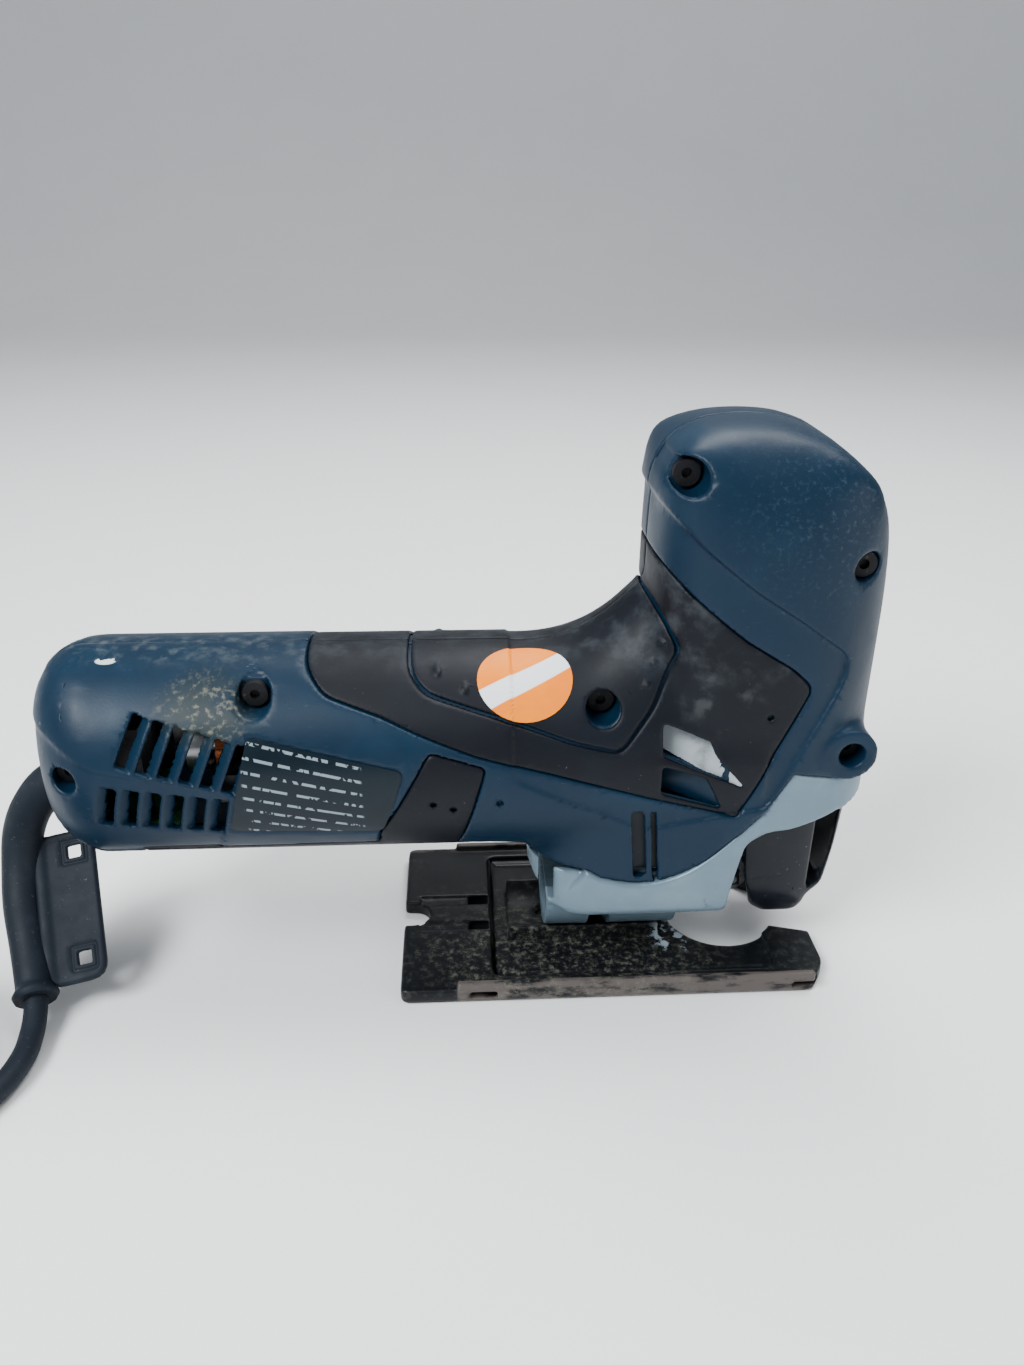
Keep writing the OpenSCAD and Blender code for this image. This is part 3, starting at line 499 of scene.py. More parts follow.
shell_step = 0.6
right_low, right_high = (-239, -37, 37), (28, 1.2, 186)
halves = grid(right_low, right_high, shell_step)
right_shell = surface_piece("right_shell", shell_field(*halves, True), right_low, shell_step,
                            blue_shell.mat, "housing")
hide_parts("right_housing")
mirrored = Matrix.Diagonal((1, -1, 1, 1))
left_shell = surface_piece("left_shell", shell_field(*halves, False), right_low, shell_step,
                           blue_shell.mat, "housing", mirrored)
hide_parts("left_housing")


# ---------------------------------------------------------------- soft grip
# Thermoplastic rubber moulded into a shallow pocket round the hand, in a black band with
# a separate pad set into it and a strip under the barrel. Dust sits in its edges.
def skin_field(x, y, z, inside, gap=0.35):
    """A skin over part of the form, with its upper edges eased."""
    form = tool_form(x, y, z)
    return np.maximum(meet(form + 0.05, inside + gap, 1.0), -(form + skin))


def well_room(field, x, z, right):
    """Opens a skin for the screw wells, which only the right side has."""
    for wx, wz, wy, r in wells if right else ():
        field = meet(field, r + 0.15 - np.hypot(x - wx, z - wz), 0.6)
    return field


soft_black = Finish("soft_black", (0.0013, 0.0025, 0.0055), 0.46)
soft_black.tint(soft_black.ramp(soft_black.noise(28), 0.4, 0.8), (0.0028, 0.0050, 0.0100))
head_highlight_and_grip_rub = soft_black.times(soft_black.near((-30, -33, 106), 5, 18),
                          soft_black.ramp(soft_black.noise(130, 6), 0.5, 0.72))
soft_black.tint(head_highlight_and_grip_rub, (0.03, 0.034, 0.038))
soft_black.tint(soft_black.ramp(soft_black.noise(950, 4), 0.70, 0.78), (0.12, 0.12, 0.11))
settled = soft_black.times(soft_black.ramp(soft_black.axis(2), 0.106, 0.115),
                           soft_black.ramp(soft_black.noise(110, 5), 0.42, 0.75))
soft_black.tint(settled, (0.03, 0.036, 0.042))
soft_black.roughness(soft_black.noise(50, 5), 0.38, 0.66)
soft_black.bump(soft_black.noise(1300, 2), 0.05, 0.5)
pips = [(-112, 108), (-104, 104.5), (-108, 99.5), (-46, 118), (-48, 112), (-50, 106)]
grip_low, grip_high = (-154, -36, 60), (0, 0.8, 149)
gx, gy, gz = grid(grip_low, grip_high, 0.5)
for side, right in (("right", True), ("left", False)):
    seam = gy + 0.12
    beside_pad = np.maximum(outline(band, gx, gz), -outline(grip_pad, gx, gz))
    field = np.maximum(skin_field(gx, gy, gz, beside_pad), seam)
    for line, deep in scoops:
        cut = np.maximum(outline(line, gx, gz) - 0.2, gy + 18)
        field = meet(field, -cut, 0.8)
    field = np.maximum(field, 1.0 - np.hypot(gx + 14, gz - 98))
    if not right:
        field = meet(field, -box(gx, gy, gz, *switch_bay, 1.5), 0.6)
    band_piece = surface_piece(side + "_grip_band", well_room(field, gx, gz, right), grip_low, 0.5,
                               soft_black.mat, "housing", None if right else mirrored)
    pad_form = tool_form(gx, gy, gz)
    lift = np.zeros_like(gx * gz)
    for px, pz in pips:
        lift = np.maximum(lift, 0.7 * np.maximum(1 - ((gx - px) ** 2 + (gz - pz) ** 2) / 2.0, 0))
    field = meet(pad_form + 0.1 - lift, outline(grip_pad, gx, gz) + 0.45, 1.2)
    field = np.maximum(np.maximum(field, -(pad_form + skin)), seam)
    pad_piece = surface_piece(side + "_pad", well_room(field, gx, gz, right), grip_low, 0.5,
                              soft_black.mat, "housing", None if right else mirrored)
    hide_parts(side + "_grip_skin")
    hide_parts(side + "_grip_pad")

belly_low, belly_high = (-209, -36, 38), (-83, 36, 92)
bx, by, bz = grid(belly_low, belly_high, 0.5)
field = skin_field(bx, by, bz, np.maximum(outline(belly, bx, bz), 0.2 - outline(band, bx, bz)))
field = np.maximum(field, 0.15 - outline([(-84, 26), (-60, 26), (-60, 44), (-84, 43.3)], bx, bz))
for dx, dz in ((-114, 72), (-108, 70)):
    field = np.maximum(field, 1.0 - np.hypot(bx - dx, bz - dz))
field = np.maximum(field, -box(bx, -by, bz, *switch_bay, 1.5))
belly_piece = surface_piece("belly_wrap", field, belly_low, 0.5, soft_black.mat, "housing")
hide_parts("belly_strip")


# ---------------------------------------------------------------- air scoops
# Behind each of the two slanting outlets lies a moulded ramp that turns the fan's air
# back along the tool. The upper ramp's pale grey is a painted highlight where it catches the light; the
# lower one keeps the shell's blue.
scoop_highlight = Finish("scoop_highlight", (0.34, 0.38, 0.40), 0.32)
scoop_highlight.tint(scoop_highlight.ramp(scoop_highlight.noise(120), 0.5, 0.8), (0.18, 0.2, 0.2))
scoop_low, scoop_high = (-50, -36, 62), (-14, -20, 100)
sx, sy, sz = grid(scoop_low, scoop_high, 0.4)
scoop_form = tool_form(sx, sy, sz)
for side, place in (("right", None), ("left", mirrored)):
    for (line, deep), name, finish in zip(scoops, ("upper", "lower"), (scoop_highlight, blue_shell)):
        floor_deep = 0.5 + deep * np.clip((-21.5 - sx) / 23.5, 0, 1)
        ramp = np.maximum(outline(line, sx, sz) - 1.2, np.abs(scoop_form + floor_deep + 0.8) - 0.75)
        piece = surface_piece(f"{side}_{name}_scoop", ramp, scoop_low, 0.4, finish.mat, "housing", place)


# ---------------------------------------------------------------- painted shade behind the slots
# Thin black sheets inside the shells, just behind the two narrow outlets, are painted shade that keeps the
# slots dark.
nylon = Finish("black_nylon", (0.005, 0.007, 0.011), 0.4)
nylon.tint(nylon.ramp(nylon.noise(80), 0.45, 0.8), (0.010, 0.013, 0.018))
nylon.tint(nylon.ramp(nylon.noise(800, 5), 0.68, 0.78), (0.14, 0.14, 0.13))
nylon.roughness(nylon.noise(90), 0.3, 0.55)
nylon.bump(nylon.noise(1200, 2), 0.04)
shade_sheet_low, shade_sheet_high = (-58, -31, 43), (-40, -24, 71)
ax, ay, az = grid(shade_sheet_low, shade_sheet_high, 0.4)
shade_sheet_field = box(ax, ay, az, (-56.5, -29.6, 44), (-41, -28.4, 70), 0.3)
for side, place in (("right", None), ("left", mirrored)):
    piece = surface_piece(side + "_painted_shade_sheet", shade_sheet_field, shade_sheet_low, 0.4, nylon.mat, "housing", place)


# ---------------------------------------------------------------- gear housing and foot
# Die-cast aluminium, painted silver-grey. Its round keel carries the sole, its skirts
# wrap the foot of the blue shells, and a bulkhead and floor inside it hold the bearings.
foot_outline = (rounded([(-84, 45), (-84, 38), (-80, 29.5), (-72, 25.2), (-26, 25.6), (-21.5, 27),
                         (-20.5, 35), (-19, 44), (-17, 54), (-11, 58), (-3, 58.5), (9, 61.5), (24, 66)], 2.5)
                + foot_top + rounded([(-66, 43.5), (-76.5, 29.5), (-80.5, 34), (-82.5, 45)], 1.5))
full_foot = [(-84, 43), (-84, 38), (-78, 28), (-78, 4), (-34, 4), (-34, 27), (-22, 27), (-19, 43),
             (-17, 54), (-3, 58.5), (9, 61.5), (24, 66)] + foot_top
keel_z, keel_r = 27, 22
axle_z, bulkhead_x = 103.8, -49.5
cast_low, cast_high = (-87, -35, 3), (27, 35, 118)
cx, cy, cz = grid(cast_low, cast_high, 0.6)
aside = np.abs(cy)
plan = oval(cx + 30, aside, 55, 33.6, 3.2, 50)
swing = (aside + keel_z - cz - 30.9) / math.sqrt(2)
keel = np.hypot(cy, cz - keel_z) - keel_r
skirt = np.maximum(meet(meet(outline(foot_outline, cx, cz), swing, 1.5), plan, 2), 26.5 - aside)
core = np.maximum(outline(full_foot, cx, cz), np.maximum(plan, aside - 27.5))
core = np.maximum(core, np.where(cz < keel_z, keel, swing))
# hollowed out over the keel, behind the blade and round the blade clamp
core = np.maximum(core, -box(cx, cy, cz, (-81, -25, 29.3), (-26, 25, 99)))
core = np.maximum(core, -box(cx, cy, cz, (-34, -26, 20), (-15, 26, 99)))
core = np.maximum(core, -np.maximum(np.hypot(cy, cz - keel_z) - 17.9, np.abs(cx + 59) - 19))
slot_swing = np.maximum(np.abs(cx + 60) - 3.4, np.maximum(15 - np.hypot(cy, cz - keel_z), cz - 18))
core = np.maximum(core, -slot_swing)
front_room = oval(cx + 30, aside, 51.6, 30, 3.2, 50)
core = np.maximum(core, -np.maximum(front_room, np.maximum(50 - cz, -18 - cx)))
cast = np.minimum(core, skirt)
cast = np.maximum(cast, -box(cx, cy, cz, (-20, -15, 50), (30, 15, 71)))
bulk = np.minimum(box(cx, cy, cz, (-54, -28, 36), (-45, 28, 60)),
                  box(cx, cy, cz, (-54, -24, 60), (-45, 24, 96)))
from_shaft, from_axle = np.hypot(cy, cz - barrel_z), np.hypot(cy, cz - axle_z)
bulk = np.minimum(bulk, np.maximum(from_axle - 12.5, np.abs(cx - bulkhead_x) - 4.5))
bulk = np.maximum(bulk, -np.maximum(from_shaft - 11, np.abs(cx - bulkhead_x) - 3.5))
bulk = np.maximum(bulk, np.maximum(9 - from_shaft, 5 - from_axle))
deck = np.minimum(box(cx, cy, cz, (-46, -28, 60), (-12.5, 28, 65)),
                  box(cx, cy, cz, (-15, -28, 60), (-12, 28, 75)))
deck_plan = oval(cx + 30, aside, 52, 30.4, 3.2, 50)
deck = np.minimum(deck, np.maximum(box(cx, cy, cz, (-14, -29, 69), (21.6, 29, 75)), deck_plan))
deck = np.minimum(deck, np.maximum(np.hypot(cx, cy) - 14, np.abs(cz - 76) - 6))
deck = np.maximum(deck, 8 - np.hypot(cx, cy))
deck = np.maximum(deck, 3.4 - np.hypot(cx - 13, cz - 84))
cast = np.minimum(cast, np.minimum(bulk, deck))
cast_paint = Finish("cast_paint", (0.13, 0.19, 0.235), 0.34, 0.35)
cast_paint.tint(cast_paint.ramp(cast_paint.noise(40), 0.4, 0.8), (0.18, 0.25, 0.30))
cast_paint.tint(cast_paint.times(cast_paint.ramp(cast_paint.noise(300, 6), 0.55, 0.7),
                                 cast_paint.near((-26, -28, 27), 3, 14)), (0.03, 0.035, 0.04))
cast_paint.tint(cast_paint.ramp(cast_paint.noise(500, 5), 0.68, 0.76), (0.09, 0.10, 0.10))
cast_paint.roughness(cast_paint.noise(90), 0.3, 0.5)
cast_paint.bump(cast_paint.noise(700, 3), 0.06, 0.5)
foot = surface_piece("cast_foot", cast, cast_low, 0.6, cast_paint.mat, "housing")
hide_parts("gear_housing")


# ---------------------------------------------------------------- blade hood and guard wire
# A black polycarbonate hood clips into the front of the casting and keeps chips off the
# user. A bent spring wire on each side of its mouth keeps fingers away from the blade.
hood_low, hood_high = (-16, -26, 11), (26, 26, 64)
hx, hy, hz = grid(hood_low, hood_high, 0.4)
hood_side = rounded([(-13, 34), (-9, 20), (-2, 13.5), (5, 13), (8.5, 17), (9.3, 25), (15.5, 27.6),
                     (19, 41), (22.6, 60.8), (9, 60.5), (-3, 56.5), (-15, 53.5)], 2.2)
hood_inner = rounded([(-20, 5), (4.2, 5), (4.8, 15), (6.6, 18), (7.2, 27.3), (13.8, 29.2), (17, 42),
                      (19.9, 70), (-20, 70)], 1.2)
hood_front = rounded([(-16, 14), (16, 14), (22, 24), (24, 30),
                      (24, 65), (-24, 65), (-24, 30), (-22, 24)], 3)
across = outline(hood_front, hy, hz)
hood_plan = oval(hx + 8, hy, 32, 24, 2.4, 28)
hood = meet(meet(outline(hood_side, hx, hz), across, 1.5), hood_plan, 2)
inner = np.maximum(np.maximum(outline(hood_inner, hx, hz), across + 2.2), np.abs(hy) - 21.5)
hood = meet(hood, -inner, 0.6)
step_line = np.abs(hz - 37 - 0.25 * (hx - 5)) - 0.5
hood = np.maximum(hood, -np.maximum(step_line, -(across + 0.7)))
hood_plastic = Finish("hood_plastic", (0.005, 0.007, 0.011), 0.24)
hood_plastic.tint(hood_plastic.ramp(hood_plastic.noise(70), 0.45, 0.8), (0.014, 0.017, 0.024))
hood_plastic.tint(hood_plastic.ramp(hood_plastic.noise(700, 5), 0.66, 0.76), (0.13, 0.13, 0.12))
hood_plastic.roughness(hood_plastic.noise(60), 0.2, 0.45)
hood_plastic.bump(hood_plastic.noise(900, 3), 0.04)
hood_piece = surface_piece("chip_hood", hood, hood_low, 0.4, hood_plastic.mat, "housing")
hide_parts("blade_hood")

wire_steel = Finish("wire_steel", (0.06, 0.07, 0.08), 0.32, 0.8)
wire_steel.tint(wire_steel.ramp(wire_steel.noise(300), 0.5, 0.75), (0.16, 0.15, 0.13))
for side, s in (("left", 1), ("right", -1)):
    bends = [(9.0, 10 * s, 30), (10.6, 10 * s, 22), (10.9, 10.2 * s, 16), (9.8, 10.6 * s, 13.4),
             (7.6, 11.2 * s, 13.4), (6.6, 12 * s, 16), (6.2, 13 * s, 22)]
    wire = curve_piece(side + "_guard_wire", smoothed(bends, 6), 0.9, wire_steel.mat)
    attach(wire, "housing")
    if s < 0:
        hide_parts("guard_wire")


# ---------------------------------------------------------------- sole plate
# Pressed sheet steel, painted black: a raised rim round a sunk floor, turned-up sides, a
# round bay for the blade, a saddle for the keel, and slots for a parallel fence.
sole_low, sole_high = (-128, -41.5, -1.5), (16.5, 41.5, 10.5)
px, py, pz = grid(sole_low, sole_high, 0.5)
half = np.abs(py)
plate_rim = rounded([(-126.5, -39.8), (9, -39.8), (14.8, -31), (14.8, 31), (9, 39.8), (-126.5, 39.8)], 3)
plate_plan = outline(plate_rim, px, py)
plate = meet(plate_plan, np.maximum(pz - 5, -pz), 1.2)
upturn = box(px, half, pz, (-108, 37.4, 1), (9.5, 40, 7.4), 0.9)
plate = join(plate, upturn, 0.8)
plate = join(plate, box(px, py, pz, (-90, -14, 1), (-38, 14, 9), 1), 1.5)
dish = meet(outline(rounded([(-96, -33), (-2, -33), (-2, 33), (-96, 33)], 3), px, py), 3 - pz, 0.8)
dish = np.maximum(dish, -box(px, py, pz, (-90, -14, 0), (-38, 14, 9.2), 1))
plate = meet(plate, -dish, 0.8)
crease = np.maximum(np.abs(half - 30.5) - 0.5, np.maximum(np.abs(px + 49) - 44, 2.5 - pz))
plate = np.maximum(plate, -crease)
plate = meet(plate, keel_r + 0.4 - np.hypot(py, pz - keel_z), 0.5)
bay = np.minimum(np.hypot(px + 14, py) - 19.5, outline([(-1, -11), (17, -16), (17, 16), (-1, 11)], px, py))
plate = meet(plate, -bay, 0.6)
screw_run = np.hypot(np.maximum(np.abs(px + 66.5) - 9.9, 0), py)
plate = np.maximum(plate, 3.3 - screw_run)
plate = np.maximum(plate, np.minimum(6.6 - screw_run, 3.1 - pz))
plate = meet(plate, 6 - np.hypot(np.maximum(px + 123.5, 0), py), 0.6)
groove = np.maximum(np.abs(half - 7) - 2.2, np.maximum(np.abs(px + 109) - 12, 4.3 - pz))
plate = meet(plate, -groove, 0.6)
for slot_x in (-104, 2):
    plate = np.maximum(plate, -box(px, 0 * py, pz, (slot_x, -1, 1.4), (slot_x + 9, 1, 4.1), 0.5))
plate_paint = Finish("plate_paint", (0.0045, 0.0055, 0.007), 0.3)
near_edge = plate_paint.times(plate_paint.ramp(plate_paint.axis(1), -0.0368, -0.0378),
                              plate_paint.ramp(plate_paint.axis(0), -0.1085, -0.1075))
far_edge = plate_paint.ramp(plate_paint.axis(1), 0.0368, 0.0378)
bare = plate_paint.ramp(plate_paint.noise(240, 6, (0.35, 1, 1)), 0.36, 0.52)
plate_paint.tint(plate_paint.times(near_edge, bare), (0.085, 0.072, 0.066))
plate_paint.tint(plate_paint.times(far_edge, bare), (0.07, 0.06, 0.055))
dusty = plate_paint.ramp(plate_paint.noise(26, 3), 0.42, 0.62)
specks = plate_paint.ramp(plate_paint.noise(360, 9, rough=0.8), 0.47, 0.74)
on_top = plate_paint.ramp(plate_paint.axis(2), 0.0012, 0.0024)
specks = plate_paint.times(specks, on_top)
by_keel = plate_paint.near((-70, -22, 3), 24, 52, (0.8, 1.4, 1))
plate_paint.tint(plate_paint.times(specks, by_keel), (0.15, 0.15, 0.12))
plate_paint.tint(plate_paint.times(plate_paint.times(dusty, specks), 0.6), (0.08, 0.085, 0.07))
# A small bright blue-grey patch on the sunk floor by the rear edge of the blade bay is a painted highlight.
plate_paint.tint(plate_paint.times(plate_paint.ramp(plate_paint.noise(200, 5), 0.5, 0.56),
                                   plate_paint.near((-33, -13, 3), 4, 11)), (0.42, 0.50, 0.56))
plate_paint.roughness(plate_paint.noise(80, 5), 0.22, 0.55)
plate_paint.bump(plate_paint.noise(500, 4), 0.05, 0.5)
sole = surface_piece("pressed_sole", plate, sole_low, 0.5, plate_paint.mat, "sole")
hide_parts("sole_plate")


# ---------------------------------------------------------------- round sticker, rating plate
# Printed vinyl, laid on the grip pad and in a shallow panel of the right shell. Their
# print is left out but for an orange ground with a pale band, and a few plain bars.
def laid_on(name, rim, lift, material):
    """A thin label: its rim is in millimetres along the barrel and round it from the top."""
    rim, spread = np.array(rim), 12
    rim = np.vstack([np.linspace(a, b, max(2, int(np.linalg.norm(b - a) / 1.5) + 1), endpoint=False)
                     for a, b in zip(rim, np.roll(rim, -1, 0))])
    centre = rim.mean(0)
    rings = [centre + (rim - centre) * k / spread for k in range(1, spread + 1)] + [rim]
    flat = np.vstack([centre[None]] + rings)
    turn = flat[:, 1] / barrel_r
    normal = np.stack([0 * turn, -np.sin(turn), np.cos(turn)], 1)
    at = np.stack([flat[:, 0], 0 * turn, 0 * turn + barrel_z], 1) + normal * (barrel_r + 4)
    for step in range(14):
        at = at - normal * tool_form(at[:, 0], at[:, 1], at[:, 2])[:, None] * 0.8
    n = len(rim)
    at = at + normal * np.where(np.arange(len(at)) < 1 + spread * n, lift, -0.6)[:, None]
    faces = [(0, 1 + (i + 1) % n, 1 + i) for i in range(n)]
    for k in range(spread):
        a, b = 1 + k * n, 1 + (k + 1) * n
        faces += [(a + i, a + (i + 1) % n, b + (i + 1) % n, b + i) for i in range(n)]
    mesh = bpy.data.meshes.new(name)
    mesh.from_pydata((at * MM).tolist(), [], faces)
    mesh.materials.append(material)
    label = bpy.data.objects.new(name, mesh)
    bpy.context.scene.collection.objects.link(label)
    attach(label, "housing")
    return label


vinyl = Finish("orange_vinyl", (0.90, 0.21, 0.0), 0.35, specular=0.15)
vinyl.tint(vinyl.ramp(vinyl.noise(90), 0.4, 0.8), (0.95, 0.27, 0.0))
band_mix = vinyl.add("ShaderNodeVectorMath", operation="DOT_PRODUCT")
vinyl.link(vinyl.place, band_mix.inputs[0])
band_mix.inputs[1].default_value = (-0.469, 0.76, 0.4415)
across_band = band_mix.outputs["Value"]
pale_band = vinyl.times(vinyl.ramp(across_band, 0.0692, 0.0697), vinyl.ramp(across_band, 0.0764, 0.0759))
vinyl.tint(pale_band, (0.82, 0.84, 0.86))
vinyl.roughness(vinyl.noise(200), 0.28, 0.45)
vinyl.bump(vinyl.noise(300, 2), 0.03)
disc = [(-86 + 14.3 * math.cos(t), 20 + 13.6 * math.sin(t)) for t in np.radians(np.arange(0, 360, 7.5))]
sticker = laid_on("round_label", disc, 0.16, vinyl.mat)
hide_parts("round_sticker")

print_foil = Finish("print_foil", (0.0022, 0.0075, 0.0125), 0.3)
print_foil.tint(print_foil.ramp(print_foil.noise(60), 0.4, 0.8), (0.003, 0.010, 0.016))
bars = print_foil.add("ShaderNodeVectorMath", operation="DOT_PRODUCT")
print_foil.link(print_foil.place, bars.inputs[0])
bars.inputs[1].default_value = (0.24, 0, 1)
rows = print_foil.add("ShaderNodeMath", operation="PINGPONG")
rows.inputs[1].default_value = 0.0021
print_foil.link(bars.outputs["Value"], rows.inputs[0])
dashes = print_foil.times(print_foil.ramp(rows.outputs[0], 0.00155, 0.00175),
                          print_foil.ramp(print_foil.noise(620, 1, (1, 1, 0.4)), 0.46, 0.50))
dashes = print_foil.times(dashes, print_foil.ramp(print_foil.axis(0), -0.1345, -0.1355))
dashes = print_foil.times(dashes, print_foil.ramp(print_foil.axis(0), -0.1700, -0.1690))
print_foil.tint(dashes, (0.20, 0.25, 0.28))
print_foil.roughness(print_foil.noise(120), 0.25, 0.4)
print_foil.bump(print_foil.noise(400, 2), 0.02)
foil_rim = []
for x, z in rounded([(-175, 63.3), (-129.6, 61.4), (-122.5, 83.4), (-167.6, 94.1)], 2.5):
    foil_rim.append((x, barrel_r * math.acos((z - barrel_z) / (barrel_r - 0.4))))
rating = laid_on("rating_label", foil_rim, -0.08, print_foil.mat)
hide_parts("rating_plate")


# ---------------------------------------------------------------- bend protector
# Soft black rubber, moulded round the lead where it leaves the rear of the tool, with a
# flared end and a tab that used to grip the hex key in two square holes.
sleeve_route = [(-222, 0, 66.5), (-232, -0.3, 65.5), (-240, -0.6, 61.5), (-246, -1.5, 55),
                (-250, -3.5, 46), (-250.5, -9, 36), (-249, -17, 27), (-245.5, -26, 18.5), (-242, -35, 12),
                (-239.7, -41.4, 8.5)]
sleeve_line = smoothed(sleeve_route, 8)
thick = np.interp(np.linspace(0, 1, len(sleeve_line)), (0, 0.1, 0.3, 0.6, 0.93, 0.955, 0.975, 1),
                  (8.0, 7.6, 6.7, 6.1, 5.8, 6.9, 7.0, 6.3))
sleeve = curve_piece("sleeve_tube", sleeve_line, 6, lead_rubber.mat, thick)
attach(sleeve, "housing")
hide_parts("lead_sleeve")
tab_low, tab_high = (-4, -51, -4), (19, 3, 4)
tx, ty, tz = grid(tab_low, tab_high, 0.4)
tab_plan = outline(rounded([(-2, -48.5), (16, -48.5), (16.2, 0), (-2, 0)], 5), tx, ty)
tab = meet(tab_plan, np.abs(tz) - 1.1, 0.8)
bead = np.hypot(tab_plan + 0.9, tz) - 1.5
tab = join(tab, np.maximum(bead, 1 - tx), 0.6)
for hole_y in (-6.5, -41.5):
    tab = meet(tab, -box(tx, ty, 0 * tz, (7.9, hole_y - 2.1, -1), (12.1, hole_y + 2.1, 1), 0.3), 0.4)
    frame_edge = np.abs(box(tx, ty, 0 * tz, (6.2, hole_y - 3.8, -1), (13.8, hole_y + 3.8, 1), 0.3)) - 0.35
    tab = np.maximum(tab, -np.maximum(frame_edge, 0.7 - np.abs(tz)))
tab = join(tab, np.maximum(np.hypot(tx + 1.2, tz) - 2.2, np.abs(ty + 24) - 24), 1.5)
tab_place = (Matrix.Translation(Vector((-245, -3, 42.5)) * MM) @ Matrix.Rotation(math.radians(44), 4, "X")
             @ Matrix.Rotation(math.radians(12), 4, "Z"))
key_tab = surface_piece("key_tab", tab, tab_low, 0.4, lead_rubber.mat, "housing", tab_place)


# ---------------------------------------------------------------- plug
# A flat two-pin plug moulded onto the lead in black rubber, waisted where it is gripped.
plug_low, plug_high = (-335, -128, 27), (-289, -88, 50)
qx, qy, qz = grid(plug_low, plug_high, 0.5)
plug_y, plug_long = -107.9, 38
ahead_of = -293.3 - qx
plug_half = np.interp(ahead_of, (0, 8, 14, 22, 30, plug_long), (5.6, 6.5, 12.5, 15.5, 17.2, 17.2))
deep_half = np.interp(ahead_of, (0, 8, 14, plug_long), (5.6, 6.5, 8.6, 9.2))
ring = oval(qy - plug_y, qz - plug_z, plug_half, deep_half, 2.8, 1)
plug = meet(ring * deep_half, np.maximum(-ahead_of, ahead_of - plug_long), 1.5)
ribs = 0.5 * (np.cos((ahead_of - 18) * 2 * math.pi / 3.4) > 0.2) * ((ahead_of > 16) & (ahead_of < 30))
plug = np.maximum(plug, -np.maximum(np.maximum(-(plug + ribs), 12 - np.abs(qy - plug_y)), 0.01 - ribs))
plug_piece = surface_piece("plug_grip", plug, plug_low, 0.5, lead_rubber.mat, "housing")
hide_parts("plug_body")


# ---------------------------------------------------------------- stroke selector
# A turned black nylon knob with a finger bar, on the left of the gear housing. Turning it
# sets how far the roller fork swings.
knob_low, knob_high = (-80, 22, 52), (-60, 40, 72)
kx, ky, kz = grid(knob_low, knob_high, 0.35)
off_axis = np.hypot(kx - selector_x, kz - selector_z)
turn = np.arctan2(kz - selector_z, kx - selector_x)
knob = meet(off_axis - 8 + 0.25 * (np.cos(18 * turn) > 0.3) * (ky > 31), np.abs(ky - 29.5) - 5.5, 0.8)
knob = join(knob, box(kx, ky, kz, (-71.6, 34, 54.6), (-68.4, 38, 69.4), 1.1), 1.2)
knob = meet(knob, 0.7 - np.hypot(np.hypot(kx - selector_x, kz - 68.4), ky - 38), 0.2)
selector = surface_piece("selector_knob", knob, knob_low, 0.35, nylon.mat, "selector")
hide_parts("orbit_selector")


# ---------------------------------------------------------------- slide switch
# The thumb slide of the mains switch in the left shell, black nylon with grip ribs. It
# slides forwards to start the tool.
slide_low, slide_high = (-124, 31, 77), (-100, 40, 94)
ux, uy, uz = grid(slide_low, slide_high, 0.35)
slide = box(ux, uy, uz, (-121.5, 33.8, 79.6), (-102.5, 37.0, 91.4), 1.2)
slide = join(slide, box(ux, uy, uz, (-118, 32.4, 82), (-106, 35, 89), 0.5), 0.5)
for i in range(5):
    rib = box(ux, uy, uz, (-119.2 + 3.4 * i, 36, 80.8), (-117.8 + 3.4 * i, 38.1, 90.2), 0.6)
    slide = join(slide, rib, 0.9)
thumb_slide = surface_piece("thumb_slide", slide, slide_low, 0.35, nylon.mat, "switch")
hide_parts("slide_switch")


# ---------------------------------------------------------------- speed dial
# A knurled thumb wheel on the control board, standing a little out of a slot at the rear.
# It is moulded in black nylon and sets the stroke rate.
dial_low, dial_high = (-217.5, 10, 84), (-208.5, 32, 107)
dx, dy, dz = grid(dial_low, dial_high, 0.35)
dial_x, dial_y, dial_z = -213, 21, 95.5
dial_r, dial_turn = np.hypot(dy - dial_y, dz - dial_z), np.arctan2(dz - dial_z, dy - dial_y)
knurl = 0.7 * np.clip(np.cos(20 * dial_turn) * 2 - 0.6, 0, 1)
dial = meet(dial_r - 9.1 + knurl, np.abs(dx - dial_x) - 2.7, 0.8)
dial = np.maximum(dial, -np.maximum(np.abs(dial_r - 5.5) - 1.6, 2.0 - np.abs(dx - dial_x)))
thumb_wheel = surface_piece("thumb_wheel", dial, dial_low, 0.35, nylon.mat, "dial")
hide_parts("speed_dial")


# ---------------------------------------------------------------- bright steel
# Ground and turned steel: the plunger, shafts, axle, pins and ball bearings, kept bright
# by oil and grease. The plated pins of the plug look much the same.
def finish_of(finish, slot, *names):
    """Gives CAD nodes a finish. The slot argument is not used."""
    for name in names:
        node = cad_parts[name]
        node.data.materials.clear()
        node.data.materials.append(finish.mat)


bright = Finish("bright_steel", (0.50, 0.51, 0.52), 0.26, 0.95)
bright.tint(bright.ramp(bright.noise(200, 5), 0.55, 0.8), (0.30, 0.29, 0.27))
bright.roughness(bright.noise(400, 4, (1, 1, 0.15)), 0.18, 0.42)
bright.bump(bright.noise(900, 3, (1, 1, 0.1)), 0.01)
finish_of(bright, "steel", "plunger", "armature_shaft", "gear_axle", "fork_pivot_pin", "guide_roller",
          "front_bearing", "rear_bearing", "clamp_screws", "bracket_screws", "brush_springs", "plug_pins")


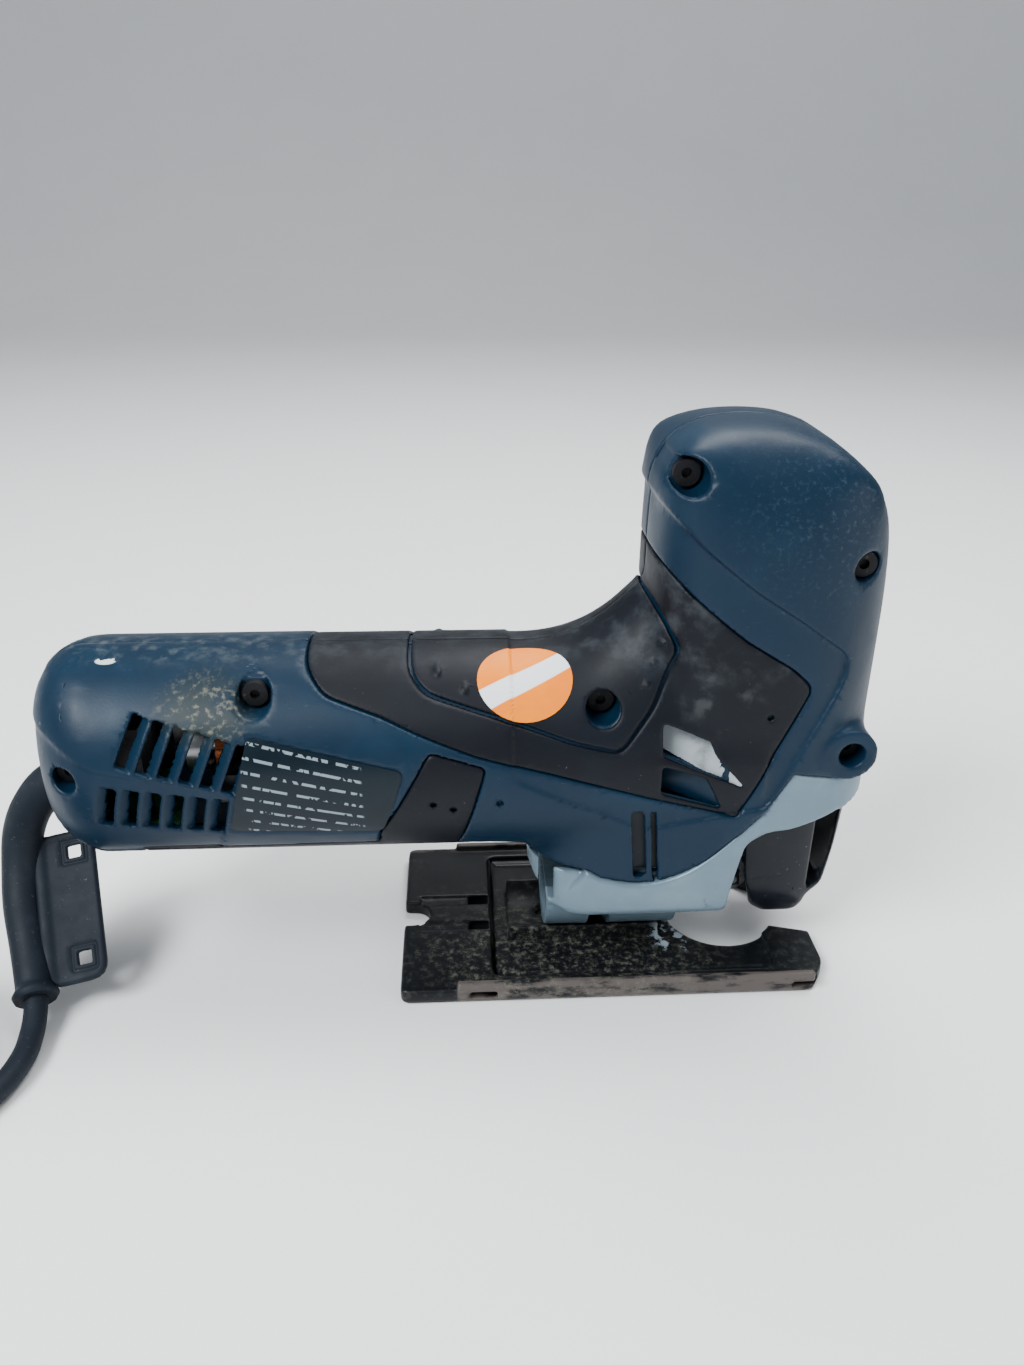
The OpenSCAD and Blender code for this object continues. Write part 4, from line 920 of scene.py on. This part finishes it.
# ---------------------------------------------------------------- dark steel
# Blackened and case-hardened steel: blade clamp, roller fork, screws, gear and weight.
# They are oiled, and a little brown where the oil has dried.
dark = Finish("dark_steel", (0.03, 0.032, 0.035), 0.4, 0.8)
dark.tint(dark.ramp(dark.noise(260, 5), 0.55, 0.75), (0.16, 0.155, 0.15))
dark.tint(dark.ramp(dark.noise(150, 4), 0.66, 0.76), (0.10, 0.055, 0.03))
dark.roughness(dark.noise(300), 0.3, 0.55)
dark.bump(dark.noise(1100, 3), 0.03)
finish_of(dark, "dark_steel", "blade_clamp", "roller_fork", "drive_gear", "balance_weight",
          "plate_clamp_screw")


# ---------------------------------------------------------------- housing screws
# Thread-forming screws with blackened heads, deep in their wells and full of fine dust.
# They hold the shells and the casting together.
sooty = Finish("black_oxide", (0.010, 0.010, 0.012), 0.55, 0.3)
sooty.tint(sooty.ramp(sooty.noise(500, 4), 0.6, 0.75), (0.05, 0.048, 0.042))
sooty.roughness(sooty.noise(300), 0.45, 0.7)
sooty.bump(sooty.noise(1100, 3), 0.03)
finish_of(sooty, "dark_steel", "housing_screws")


# ---------------------------------------------------------------- clamp lever
# A sprung nylon collar round the blade clamp; turning it lets go of the blade.
# It is moulded in black and sits at the lower end of the plunger.
finish_of(nylon, "soft_grip", "clamp_lever")


# ---------------------------------------------------------------- die-cast bracket and clamp block
# Plain die-cast alloy: the bracket of the upper bush and the block that grips the sole.
# Neither is painted, and both are held by screws.
alloy = Finish("plain_alloy", (0.34, 0.36, 0.38), 0.45, 0.8)
alloy.tint(alloy.ramp(alloy.noise(180, 4), 0.5, 0.8), (0.22, 0.23, 0.24))
alloy.roughness(alloy.noise(260), 0.35, 0.6)
alloy.bump(alloy.noise(800, 3), 0.04)
finish_of(alloy, "gear_metal", "guide_bracket", "plate_clamp_block")


# ---------------------------------------------------------------- bushes
# Sintered bronze, soaked in oil, one at each end of the plunger's travel.
# The lower one is pressed into the casting and the upper one into its bracket.
bronze = Finish("sintered_bronze", (0.36, 0.20, 0.075), 0.5, 0.85)
bronze.tint(bronze.ramp(bronze.noise(600, 4), 0.5, 0.75), (0.20, 0.11, 0.045))
bronze.roughness(bronze.noise(500), 0.4, 0.62)
bronze.bump(bronze.noise(1500, 2), 0.03)
finish_of(bronze, "bronze", "lower_bush", "upper_bush")


# ---------------------------------------------------------------- windings and commutator
# Enamelled copper wire in the field and the armature, hard copper bars at the commutator.
# The wire is varnished where it lies.
copper = Finish("enamelled_copper", (0.42, 0.13, 0.045), 0.32, 0.8)
copper.tint(copper.ramp(copper.noise(900, 2, (0.1, 1, 1)), 0.45, 0.6), (0.20, 0.055, 0.02))
copper.roughness(copper.noise(400), 0.25, 0.45)
copper.bump(copper.noise(1600, 1, (0.08, 1, 1)), 0.15)
finish_of(copper, "copper", "armature_windings", "field_windings", "commutator")


# ---------------------------------------------------------------- laminations
# Stacks of thin silicon steel sheet, their edges showing as fine lines across the axis.
# The armature's stack is pressed on its shaft; the field's sits between the shells.
sheets = Finish("laminated_steel", (0.20, 0.205, 0.215), 0.42, 0.85)
sheets.tint(sheets.ramp(sheets.noise(1200, 1, (1, 0.02, 0.02)), 0.42, 0.58), (0.09, 0.09, 0.095))
sheets.roughness(sheets.noise(300), 0.35, 0.55)
sheets.bump(sheets.noise(1200, 1, (1, 0.02, 0.02)), 0.08)
finish_of(sheets, "laminate", "armature_core", "stator_core")


# ---------------------------------------------------------------- carbon brushes
# Pressed graphite blocks in black moulded holders.
# Their springs push them against the commutator.
graphite = Finish("graphite", (0.022, 0.022, 0.024), 0.5)
graphite.tint(graphite.ramp(graphite.noise(700, 3), 0.5, 0.8), (0.05, 0.05, 0.052))
graphite.bump(graphite.noise(1500, 2), 0.03)
finish_of(graphite, "carbon", "carbon_brushes")
finish_of(nylon, "electrics", "brush_holders")


# ---------------------------------------------------------------- fan, electrics, lead clamp
# Black nylon fan and switch, green fibre board, grey suppressor block, nylon lead clamp.
# The fan is pressed on the shaft; the others are held between the shells.
finish_of(nylon, "electrics", "fan", "switch_module", "lead_clamp")
board = Finish("fibre_board", (0.025, 0.11, 0.045), 0.4)
board.tint(board.ramp(board.noise(500, 2, (1, 0.3, 1)), 0.55, 0.62), (0.06, 0.18, 0.08))
board.roughness(board.noise(200), 0.3, 0.5)
board.bump(board.noise(600, 2), 0.05)
finish_of(board, "board", "control_board")
cap = Finish("suppressor_shell", (0.030, 0.030, 0.034), 0.38)
cap.tint(cap.ramp(cap.noise(300), 0.5, 0.8), (0.05, 0.05, 0.055))
cap.roughness(cap.noise(200), 0.3, 0.5)
cap.bump(cap.noise(900, 2), 0.03)
finish_of(cap, "electrics", "suppressor")
